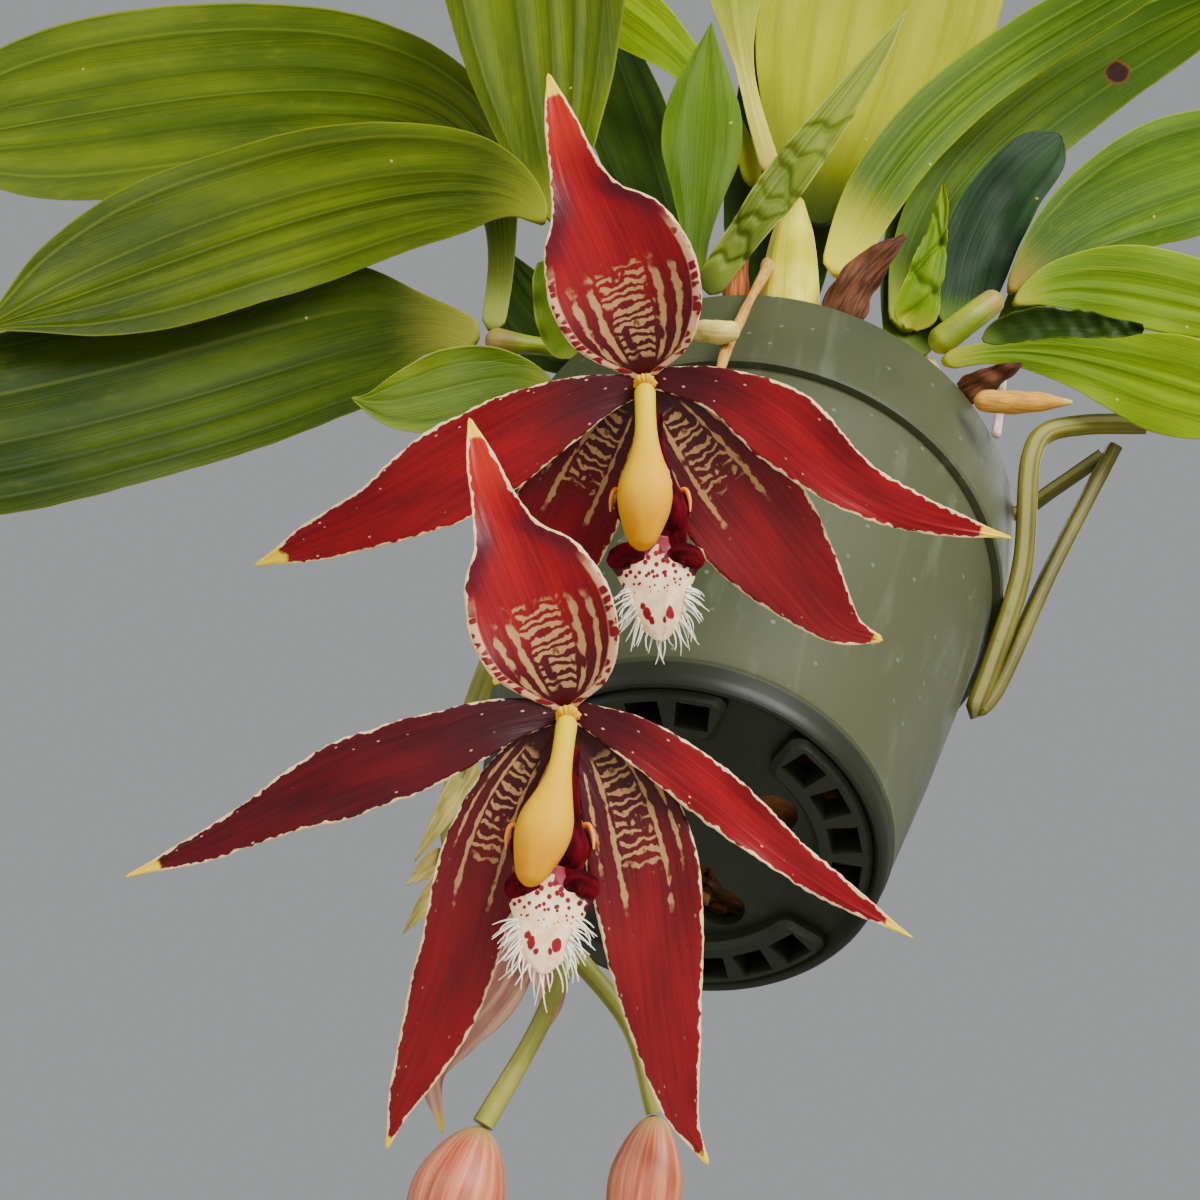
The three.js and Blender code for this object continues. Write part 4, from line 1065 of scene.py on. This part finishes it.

# %% [markdown]
# Now the flowers, the reason for the plant. Each has three sepals and two petals round a yellow column. The
# skin is a satin blood red with fine lengthwise streaks, a thin cream margin and a yellow tip, and it is
# darkened towards the base as painted shade where the tepals meet. One petal of the second flower is painted
# in darker reds, as painted shade. The sepals have tan stripes at the base, and wavy bars between them, like
# the lines of a maze. The stripes are drawn at fixed shares of the width, so they follow the outline by
# themselves.

# %% Tepal finish
CREAM, TAN, YELLOW = "#e6c890", "#a57c4c", "#f0c820"
BRIGHT_RED = ("#680008", "#7e000c", "#a0020c")
CRIMSON = ("#60000a", "#78000c", "#94020c")
MAROON = ("#5a080e", "#700a12", "#8c0c16")
# Darker reds for the petal that lies in shade: the crimson petal in painted shade.
SHADED_PETAL_REDS = ("#340006", "#4a0008", "#62020c")


def tepal_finish(
    name, reds, stripes=(), bars=None, margin=0.4, specks=0.0, dots=False, tip=0.91, painted_shade_to=0.36
):
    """Stripes are (middle, width, start, stop) and bars are (reach, start, stop, pitch, gap)."""
    skin = Finish(name, reds[0], 0.42, 0.2)
    along, across, edge, front, flat_y = skin.fields("along", "across", "edge", "front", "flat_y")
    wide = abs(across)
    streaks = skin.cloud(1.5, 0.07)
    wobble = skin.cloud(0.55, 0.55, 5.0, 2.0)
    breaks = skin.cloud(0.5, 0.22, 8.0, 2.0)
    shake = wobble - 0.5
    skin.lay(streaks.fade(0.3, 0.7), reds[1])
    skin.lay(skin.cloud(0.22, 0.06, 3.0, 2.0).fade(0.3, 0.8) * 0.6, reds[2])
    # Painted shade: the tepal darkens towards its base, where the tepals meet round the column.
    skin.lay(along.fade(painted_shade_to, painted_shade_to / 4) * 0.85, "#2c020a")
    if dots:
        shoulder = along.fade(0.38, 0.5) * along.fade(0.68, 0.58) * edge.fade(4.2, 1.2)
        skin.lay(shoulder * 0.75, "#3c0414")
        skin.lay(along.fade(0.66, 0.84) * 0.7, "#b42410")
    lines = []
    for middle, width, start, stop in stripes:
        line = (shake * 0.16 + abs(wide - middle)).fade(width, width * 0.6)
        line *= (shake * 0.16 + along).fade(stop, stop - 0.05) * along.fade(start, start + 0.03)
        lines.append(line * breaks.fade(0.3, 0.38))
    if bars:
        reach, start, stop, pitch, gap = bars
        phase = wide * wide * 1.5 + shake * 1.9 + flat_y * (1 / pitch)
        line = abs(phase.calc("FRACT") - 0.5).fade(gap, gap + 0.07)
        line *= (shake * 0.3 + wide).fade(reach, reach - 0.04)
        line *= (shake * 0.14 + along).fade(stop, stop - 0.03) * along.fade(start, start + 0.02)
        lines.append(line * breaks.fade(0.36, 0.42))
    if lines:
        skin.lay(highest(lines), TAN)
    if dots:
        zone = edge.fade(1.5, 1.15) * along.fade(0.46, 0.38)
        dashes = skin.add("CombineXYZ", {0: edge * 0.5, 1: flat_y * 1.15, 2: across})
        skin.lay(zone, "#c8966c")
        skin.lay(zone * skin.cells(dashes).fade(0.56, 0.44), "#6c0612")
    if specks:
        flecks = skin.cells(skin.flat(0.9, 0.45, 4.0))
        skin.lay(edge.fade(2.6, 1.6) * specks * flecks.fade(0.13, 0.08), "#e3a98f")
    rim = along.fade(0.5, 0.1) * 0.22 + shake * 1.3 + edge
    skin.lay(rim.fade(margin, margin * 0.62), CREAM)
    skin.lay((shake * 0.05 + along).fade(tip, tip + 0.015), YELLOW)
    skin.lay(front * -0.3 + 0.3, "#a8564a")
    return skin.done(streaks * 0.8 + wobble * 0.3, 0.5, 0.3)


TEPAL_FINISHES = {
    "dorsal": tepal_finish(
        "sepal_top_red", BRIGHT_RED, [(0.44, 0.06, 0.05, 0.36), (0.68, 0.055, 0.05, 0.34)],
        (0.34, 0.06, 0.37, 1.15, 0.2), dots=True, tip=0.92, painted_shade_to=0.42,
    ),
    "petal": tepal_finish("petal_red", CRIMSON, margin=0.36, specks=0.8),
    "shaded_petal": tepal_finish("petal_red_painted_shade", SHADED_PETAL_REDS, margin=0.3, specks=0.8),
    "sepal": tepal_finish(
        "sepal_side_red", MAROON, [(0.42, 0.05, 0.08, 0.46), (0.74, 0.04, 0.08, 0.36)],
        (0.36, 0.08, 0.36, 1.4, 0.27), 0.34, specks=0.3, tip=0.965, painted_shade_to=0.56,
    ),
}

# %% [markdown]
# A bloom is easiest to describe face on: right, up and out, with the seat where the five tepals meet. Its own
# small frame turns those numbers into the plant's. The tepals are blades with a toothed, wavy margin.

# %% Blooms
def bloom_frame(seat, facing, crown):
    """A function that takes the bloom's points to the plant's, and the way that the bloom faces."""
    out = unit(facing)
    up = unit(np.array(crown) - out * np.dot(crown, out))
    axes = np.array([np.cross(up, out), up, out])
    return (lambda points: np.array(seat) + np.array(points, float) @ axes), out


DORSAL = (0.15, 0.6, 0.87, 0.98, 1, 0.93, 0.79, 0.49, 0.36, 0.28, 0.22, 0.13, 0.03)
BLOOMS = {
    "flower_1": {
        "frame": ((-31, -83, 0), (0.02, -0.48, -0.88), (-0.33, -0.83, 0.45)),
        "dorsal_sepal": ("dorsal", 10.6, DORSAL, [
            (0, 0, 0), (-1, 6, 2), (-4.2, 16, 3), (-9.3, 27, 3), (-13.6, 42, 0)]),
        "petal_left": ("petal", 6.9, (0.25, 0.62, 0.92, 0.95, 0.64, 0.42, 0.04), [
            (-1, -1, 0), (-9, -3.5, 2), (-25, -12, 4), (-38, -19.5, 3), (-49, -24, 0), (-57, -27.3, -3)]),
        "petal_right": ("petal", 5.3, (0.3, 0.6, 1, 0.85, 0.6, 0.36, 0.04), [
            (1, 0, 0), (10, -1.5, 2), (19, -6.5, 4), (28, -14, 4), (38, -19, 2), (53, -23, -2)]),
        "sepal_right": ("sepal", 8.6, (0.35, 0.7, 0.97, 1, 0.78, 0.44, 0.06), [
            (1, -1, -1), (7, -9, 0), (14.5, -19, 1), (22, -28.5, 1), (29, -35.8, 0), (34.5, -37.8, -1)]),
        "sepal_left": ("sepal", 7.5, (0.35, 0.72, 0.97, 1, 0.8, 0.5, 0.06), [
            (-1, -1, -1), (-7, -11, -2), (-12, -21, -3), (-16, -31, -3), (-20, -40, -3), (-22, -45, -3)]),
        "column": ([(0, -1, 2), (0.2, -10, 8), (0, -17, 11), (-0.5, -23.6, 12)], 3.6),
        "lip_base": ([(0.5, -5, 2.2), (1, -11, 3.6), (1.7, -17, 4.4), (1.8, -24.6, 5.4)], 6.8),
        "lip": ([(1.6, -22, 5.8), (1.7, -25.8, 6.3), (2, -31, 7.1), (2.4, -36.8, 7)], 6.1),
        "horns": (0.8, -16.2),
    },
    "flower_2": {
        "frame": ((-26, -56, -43), (0, -0.64, -0.77), (-0.33, -0.72, 0.6)),
        "dorsal_sepal": ("dorsal", 9.5, DORSAL, [
            (0, 0, 0), (-1, 6, 2), (-4.4, 15, 3), (-9, 26, 3), (-12.8, 38.6, 0)]),
        # This petal wears the petal finish in painted shade.
        "petal_left": ("shaded_petal", 4.9, (0.35, 0.72, 1, 0.98, 0.62, 0.38, 0.04), [
            (-1, 0, 0), (-9, -1.8, 2), (-17, -5, 3), (-26, -8, 3), (-35, -11.8, 1), (-44.5, -16.7, 0),
            (-58, -22, -3)]),
        "petal_right": ("petal", 3.5, (0.4, 0.85, 1, 0.95, 0.7, 0.42, 0.04), [
            (1, 0, 0), (9.5, -4, 2), (17.4, -9.5, 3), (25.3, -16, 3), (34, -22.7, 1), (46, -30.2, -2)]),
        "sepal_right": ("sepal", 7.3, (0.4, 0.8, 1, 0.9, 0.68, 0.4, 0.05), [
            (2, -1, -1), (7, -9.5, 0), (10, -20, 1), (11.5, -30.5, 1), (13.2, -42.4, 0), (15.4, -53, -1),
            (18.7, -59.5, -2)]),
        "sepal_left": ("sepal", 5.6, (0.4, 0.75, 1, 0.95, 0.85, 0.5, 0.05), [
            (-1, -1, -1), (-8, -12, 0), (-11.6, -22.6, 0), (-14.2, -33, 0), (-18, -43.7, -1),
            (-21.5, -51.6, -2), (-23.4, -57.5, -3)]),
        "column": ([(0.3, -1, 2), (-1, -9, 8), (-3, -16, 11), (-4.8, -22, 12)], 3.4),
        "lip_base": ([(0.2, -5, 2.2), (0, -10, 3.6), (-0.6, -15, 4.4), (-1.8, -22.6, 5.4)], 5.9),
        "lip": ([(-1.7, -19.8, 5.8), (-2, -23.3, 6.3), (-2.5, -28.4, 7.1), (-2.8, -33.4, 7)], 5.6),
        "horns": (-2.0, -15.4),
    },
}
TEPAL = {"steps": 110, "fine": 12, "thick": 0.6, "ridge": 0.12, "wave": 0.5, "waves": 2.5, "tooth": 0.9}
TEPAL_MAKES = {
    "dorsal": {**TEPAL, "cup": 0.25, "ragged": 0.14},
    "petal": {**TEPAL, "cup": 0.12, "ragged": 0.26},
    "shaded_petal": {**TEPAL, "cup": 0.12, "ragged": 0.26},
    "sepal": {**TEPAL, "cup": 0.12, "ragged": 0.12},
}
TEPAL_NAMES = ("dorsal_sepal", "petal_left", "petal_right", "sepal_right", "sepal_left")
for flower, parts in BLOOMS.items():
    world_of, out = bloom_frame(*parts["frame"])
    for seed, part in enumerate(TEPAL_NAMES, 3):
        kind, half, outline, line = parts[part]
        spec = {**TEPAL_MAKES[kind], "half": half, "outline": outline, "front": out, "seed": seed}
        tepal = blade(through(world_of(line)), spec)
        piece(f"{flower}_{part}", [tepal], f"{flower}_tepals", TEPAL_FINISHES[kind])
print("tepals:", len(BLOOMS) * len(TEPAL_NAMES))

# %% [markdown]
# The column stands out of the centre like a small club: a thin neck from a frilled collar, a swollen end, and
# a darker cap at the tip. It is waxy, with next to no shine.

# %% Columns
COLUMN_OUTLINE = (0.42, 0.41, 0.4, 0.4, 0.42, 0.48, 0.6, 0.76, 0.93, 1, 0.95, 0.8, 0.6, 0.36)
COLLAR_SHIFTS = ((0, 0.8, -0.9), (0, 0.3, -0.2), (0, -0.4, 0.4))


def column_finish():
    skin = Finish("column_wax", "#d8b800", 0.5, 0.08)
    along, tone = skin.fields("along")[0], skin.cloud(0.3, 0.2)
    skin.lay(along.fade(0.05, 0.55), "#d8a400")
    skin.lay(along.fade(0.55, 0.92), "#d88a00")
    skin.lay(tone.fade(0.45, 0.7) * 0.3, "#dcbc00")
    return skin.done(tone, 0.1, 0.3)


def club(t, angle):
    return 1 + 0.06 * np.cos(2 * angle) * np.clip(t * 2, 0, 1)


def frill(t, angle):
    return 1 + t * (0.14 * np.cos(5 * angle + 1) + 0.1 * np.cos(11 * angle) + 0.08 * np.cos(17 * angle + 2))


wax = column_finish()
for flower, parts in BLOOMS.items():
    world_of, out = bloom_frame(*parts["frame"])
    line, half = parts["column"]
    shaft = rod(world_of(line), [share * half for share in COLUMN_OUTLINE], 40, 90, bulge=club)
    collar = rod(world_of(np.array(line[0]) + COLLAR_SHIFTS), (1.3, 1.9, 1.6), 96, 24, bulge=frill)
    piece(f"{flower}_column_club", [shaft, collar], f"{flower}_column", wax)

# %% [markdown]
# Below the column hangs the lip. Its base is a dark red saddle with two ears beside the column, two pale
# crests, and two dark cushions where the tongue begins. Two orange horns curl out beside it. The tongue is
# cream with red dots and two clusters of blotches, and fine white hairs hang from the lower half of its rim,
# each with its own bend.

# %% Lip finishes
BLOTCHES = ((-1.5, 0.745, 0.62), (1.7, 0.72, 0.55), (1.1, 0.79, 0.3), (-0.7, 0.79, 0.32), (2.2, 0.66, 0.3))


def two_tone(name, base, tint, roughness=0.5, shine=0.3, patch=(0.8, 0.3), bump=(0.3, 0.2)):
    skin = Finish(name, base, roughness, shine)
    tone = skin.cloud(*patch)
    skin.lay(tone.fade(0.35, 0.65), tint)
    return skin.done(tone, *bump)


def lip_finish():
    skin = Finish("lip_tongue_cream", "#fde6b8", 0.5)
    along, across, x = skin.fields("along", "across", "flat_x")
    tone = skin.cloud(0.5, 0.5)
    shake = tone - 0.5
    dots = skin.cells(skin.flat(1.0, 0.9, 3.0), voronoi_dimensions="2D")
    dot_size = along.fade(0.74, 0.2) * 0.37 - 0.05
    skin.lay(tone.fade(0.35, 0.65), "#f4c494")
    skin.lay((dots - dot_size).fade(0.06, 0.0), "#7a0a18")
    blotches = []
    for middle, level, fat in BLOTCHES:
        far = shake * 1.3 + distance(x - middle, (along - level) * 10.0)
        blotches.append(far.fade(fat + 0.08, fat - 0.04))
    skin.lay(highest(blotches), "#840618")
    corner = (dots - 0.5) * 0.14 + abs(across) * -0.3 + along
    skin.lay(corner.fade(0.1, 0.07), "#4c0616")
    skin.lay((shake * 0.25 + along).fade(0.28, 0.1) * 0.34, "#c0384a")
    return skin.done(tone, 0.4, 0.4)


LIP_BASE_FINISH = two_tone("lip_base_red", "#30020a", "#5c0814", 0.8, 0.06, (0.9, 0.3), (0.4, 0.4))
LIP_FINISH = lip_finish()
CREST_FINISH = two_tone("lip_crest_pink", "#c05860", "#ecc0a8")
HAIR_FINISH = two_tone("lip_hairs_white", "#fdf4e4", "#f4dfc8")
HORN_FINISH = two_tone("lip_horns_orange", "#e06c10", "#f09a38", 0.35)

# %% Lips and their hairs
LIP = {"fine": 10, "steps": 50, "thick": 1.1, "wave": 0.15, "ragged": 0.1, "tooth": 1.2}
TONGUE_OUTLINE = (0.3, 0.42, 1.0, 0.9, 0.78, 0.69, 0.6, 0.46, 0.15)
HAIRS, HAIR_SPOTS = 54, 80
HAIR_RADII = (0.15, 0.13, 0.1, 0.06)


def lip_hairs(world_of, line, half):
    share, spots, along, length = walk(through(line), HAIR_SPOTS)
    widths = half * between(TONGUE_OUTLINE, share)
    hairs = []
    for k in range(HAIRS):
        turn = (k + draw.uniform(0, 0.9)) / HAIRS * 2 - 1
        i = min(int((1 - 0.5 * abs(turn) ** 0.8) * HAIR_SPOTS), HAIR_SPOTS)
        aside_x = 0.92 * widths[i] * np.clip(turn / 0.2, -1, 1)
        root = spots[i] + np.array([aside_x, 0, draw.uniform(-0.4, 0.3)])
        aim_x = math.sin(turn * 1.75) + draw.uniform(-0.3, 0.3)
        aim_y = -math.cos(turn * 1.45) + draw.uniform(-0.3, 0.15)
        aim = unit([aim_x, aim_y, draw.uniform(-0.3, 0.4)])
        reach = aim * draw.uniform(2.2, 4.8) * (1 - 0.42 * abs(turn))
        sag = np.array([draw.uniform(-0.9, 0.9), draw.uniform(-1.0, 0.1), draw.uniform(-0.5, 0.5)])
        path = [root - aim * 0.4, root + reach * 0.4, root + reach * 0.75 + sag * 0.4, root + reach + sag]
        hairs.append(rod(world_of(path), HAIR_RADII, 6, 12))
    return hairs


def make_lip(flower, frame, base, tongue, horns_at):
    world_of, out = bloom_frame(*frame)
    rightwards = (world_of([(1, 0, 0)]) - world_of([(0, 0, 0)]))[0]

    def flap(points, half, outline, **more):
        spec = {**LIP, "front": out, "half": half, "outline": outline, **more}
        return blade(through(world_of(points)), spec)

    line, half = base
    parts = [flap(line, half, (0.3, 0.28, 0.42, 0.62, 0.6), cup=0.3, steps=70)]
    crests, horns = [], []
    middle, level = horns_at
    axis, top = tongue[0][0][0], tongue[0][1][1]
    for way in (-1, 1):
        ear_x = 0.5 * (axis + middle) + way * 3.7
        ear = [(0.9, 1.4, 4.4), (0, -2.0, 6.3), (0.5, -5.4, 5.4)]
        ear = [(ear_x - way * x, level + y, z) for x, y, z in ear]
        ear_front = out + 0.5 * way * rightwards
        parts.append(flap(ear, 2.0, (0.25, 0.8, 1, 0.8, 0.3), front=ear_front, cup=-0.35, thick=1.0))
        inner, outer = axis + way * 1.6, axis + way * half * 0.98
        cushion = [(inner, top + 0.7, 6.4), (0.5 * (inner + outer), top + 1.3, 6.9), (outer, top - 0.3, 6.3)]
        parts.append(flap(cushion, 1.45, (0.5, 0.9, 1, 0.95, 0.5), cup=-0.08, thick=0.6, ragged=0.22))
        crest = [(0.7, 5, 4.2), (1.3, 2, 4.9), (2.1, -0.6, 5.4)]
        crest = [(axis + way * x, level + y, z) for x, y, z in crest]
        crests.append(flap(crest, 0.7, (0.3, 0.8, 1, 0.8, 0.3), thick=0.8, ragged=0.3))
        horn = [(3.4, -0.2, 4.2), (4.9, 0.6, 5.0), (5.5, -0.7, 5.6), (5.6, -2.5, 6.0)]
        horn = [(middle + way * x, level + y, z) for x, y, z in horn]
        horns.append(rod(world_of(horn), (0.36, 0.36, 0.3, 0.12), 12, 24))
    piece(f"{flower}_lip_saddle", parts, f"{flower}_lip_base", LIP_BASE_FINISH)
    piece(f"{flower}_lip_crests", crests, f"{flower}_lip_base", CREST_FINISH)
    piece(f"{flower}_lip_horns", horns, f"{flower}_lip_base", HORN_FINISH)
    line, half = tongue
    tongue = flap(line, half, TONGUE_OUTLINE, steps=70, cup=-0.14, ridge=0.25)
    piece(f"{flower}_lip_tongue", [tongue], f"{flower}_lip", LIP_FINISH)
    piece(f"{flower}_lip_hairs", lip_hairs(world_of, line, half), f"{flower}_lip", HAIR_FINISH)


for flower, parts in BLOOMS.items():
    make_lip(flower, parts["frame"], parts["lip_base"], parts["lip"], parts["horns"])
print("hairs on each lip:", HAIRS)

# %% [markdown]
# The flower stem climbs over the rim, hangs down in front of the pot and turns back in under it. Short flower
# stalks leave it, and pointed papery bracts stand along its lower bend. Two buds wait at its end, ribbed and
# salmon pink, and one flower behind is half open, with a single hooked sepal showing.

# %% Flower stem
RACHIS = [
    (-37, -30, 100), (-36.5, -41, 109), (-37, -52, 101), (-36, -57, 80), (-33, -61, 50), (-33, -60, 22),
    (-37, -46, 2), (-39, -34, -14), (-38, -26, -28), (-34, -21, -40), (-24, -20, -47), (-14, -21, -50),
]
RACHIS_RADII = (2.2, 2.2, 2.2, 2.1, 2.1, 2, 2, 1.9, 1.8, 1.7, 1.6, 1.5)
RACHIS_END = RACHIS[-1]
BRACTS = [
    [(-36, -27, -27), (-37, -25, -34), (-38, -24, -40), (-39, -22, -45)],
    [(-33, -19, -40), (-35, -18, -46), (-36, -17, -49), (-37, -16, -53)],
    [(-35, -19, -39), (-37, -19, -42), (-38, -19, -44), (-39, -18, -46)],
]
SCALE_LEAF = (0.5, 0.9, 1, 0.8, 0.55, 0.3, 0.06)
BRACT = {
    "half": 2.1, "outline": SCALE_LEAF, "front": UNDERSIDE, "keels": 3, "fine": 4, "cup": 0.35, "ridge": 0.15,
}


def flower_stalk(flower, start):
    seat, facing, _ = BLOOMS[flower]["frame"]
    end = np.array(seat) - 3.4 * unit(facing)
    return rod([start, end * 0.6 + np.array(start) * 0.4, end], (1.5, 1.3, 1.4), 20, 50)


stems = [
    rod(RACHIS, RACHIS_RADII, 24, 220),
    flower_stalk("flower_1", (-33, -62, 25)),
    flower_stalk("flower_2", (-38.3, -29, -23)),
    rod([RACHIS[-2], (-22, -15.5, -42.6)], (1.4, 1.4), 20, 16),
    rod([RACHIS_END, (-15, -16, -61), (-18, -9.15, -73.8)], (1.4, 1.3, 1.5), 20, 50, (True, False)),
    rod([RACHIS_END, (-3, -18, -57), (3.9, -12.2, -64.75)], (1.4, 1.3, 1.4), 20, 50, (True, False)),
]
stem_finish = fleshy_finish("stem_skin", "#74782a", "#9a9644", "#545e20")
piece("flower_stem_green", stems, "flower_stem", stem_finish)
bracts = [blade(bezier(line), BRACT) for line in BRACTS]
bract_finish = dry_finish("bract_paper", "#8c8034", "#c8b468", 10, 0.4)
piece("flower_bracts", bracts, "flower_stem", bract_finish)

# %% Buds and the opening flower
BUD_OUTLINE = (0.35, 0.75, 1, 1, 0.8, 0.45, 0.12)
BUDS = {
    "bud_left": ([(-18, -9, -74), (-18, -3, -84), (-18, 2, -95)], 6.2),
    "bud_right": ([(4, -12, -65), (6, -5, -74), (8, 1, -84)], 5),
}
OPENING_FRAME = ((-21, -13, -40), (-0.1, -0.64, -0.76), (-0.33, -0.72, 0.6))
OPENING_TEPALS = [
    (4.2, [(0, 0, 0), (-4, -9, 1), (-9.5, -16, 1), (-13.6, -22, 0), (-12.4, -31, -2)]),
    (3.2, [(0, 0, 0), (3, -5, 2), (4, -11, 2), (2, -17, 0)]),
    (3.2, [(0, 0, 0), (-6, -3, 1), (-12, -8, 1), (-17, -11, 0)]),
]
OPENING = {"outline": SCALE_LEAF, "cup": 0.35, "keels": 3, "ridge": 0.12, "thick": 0.7, "steps": 70}


def bud_finish(name, base, tint, tip, foot):
    skin = Finish(name, base, 0.42)
    along, streaks = skin.fields("along")[0], skin.cloud(0.9, 0.04)
    skin.lay(streaks.fade(0.35, 0.65), tint)
    skin.lay(skin.cloud(0.2, 0.1, 5.0, 2.0).fade(0.45, 0.7) * 0.4, "#b98a66")
    skin.lay(along.fade(0.16, 0.0) * 0.8, foot)
    skin.lay(along.fade(0.86, 0.96), tip)
    return skin.done(streaks, 0.5, 0.5)


def bud_ribs(t, angle):
    groove = np.abs(np.sin(1.5 * angle)) ** 0.6
    return 0.93 + 0.09 * groove * np.sin(math.pi * np.clip(t, 0.02, 0.98)) ** 0.5


salmon = bud_finish("bud_salmon", "#a84c34", "#cc7c58", "#d09260", "#9c8848")
for name, (points, fat) in BUDS.items():
    bud = rod(points, [share * fat for share in BUD_OUTLINE], 72, 80, bulge=bud_ribs)
    piece(name, [bud], name, salmon)
world_of, out = bloom_frame(*OPENING_FRAME)
half_open = []
for half, line in OPENING_TEPALS:
    half_open.append(blade(through(world_of(line)), {**OPENING, "half": half, "front": out}))
dusk = bud_finish("opening_sepal", "#88544a", "#c09078", "#d8a838", "#74443c")
piece("opening_flower_sepals", half_open, "opening_flower", dusk)

# %% [markdown]
# Last, the tape measure.

# %% Measure and finish
dressed_box = [list(corner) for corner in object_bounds()]
growth = [[round(1000 * (d - c), 1) for d, c in zip(*pair)] for pair in zip(dressed_box, cad_box)]
print("growth in mm:", growth)
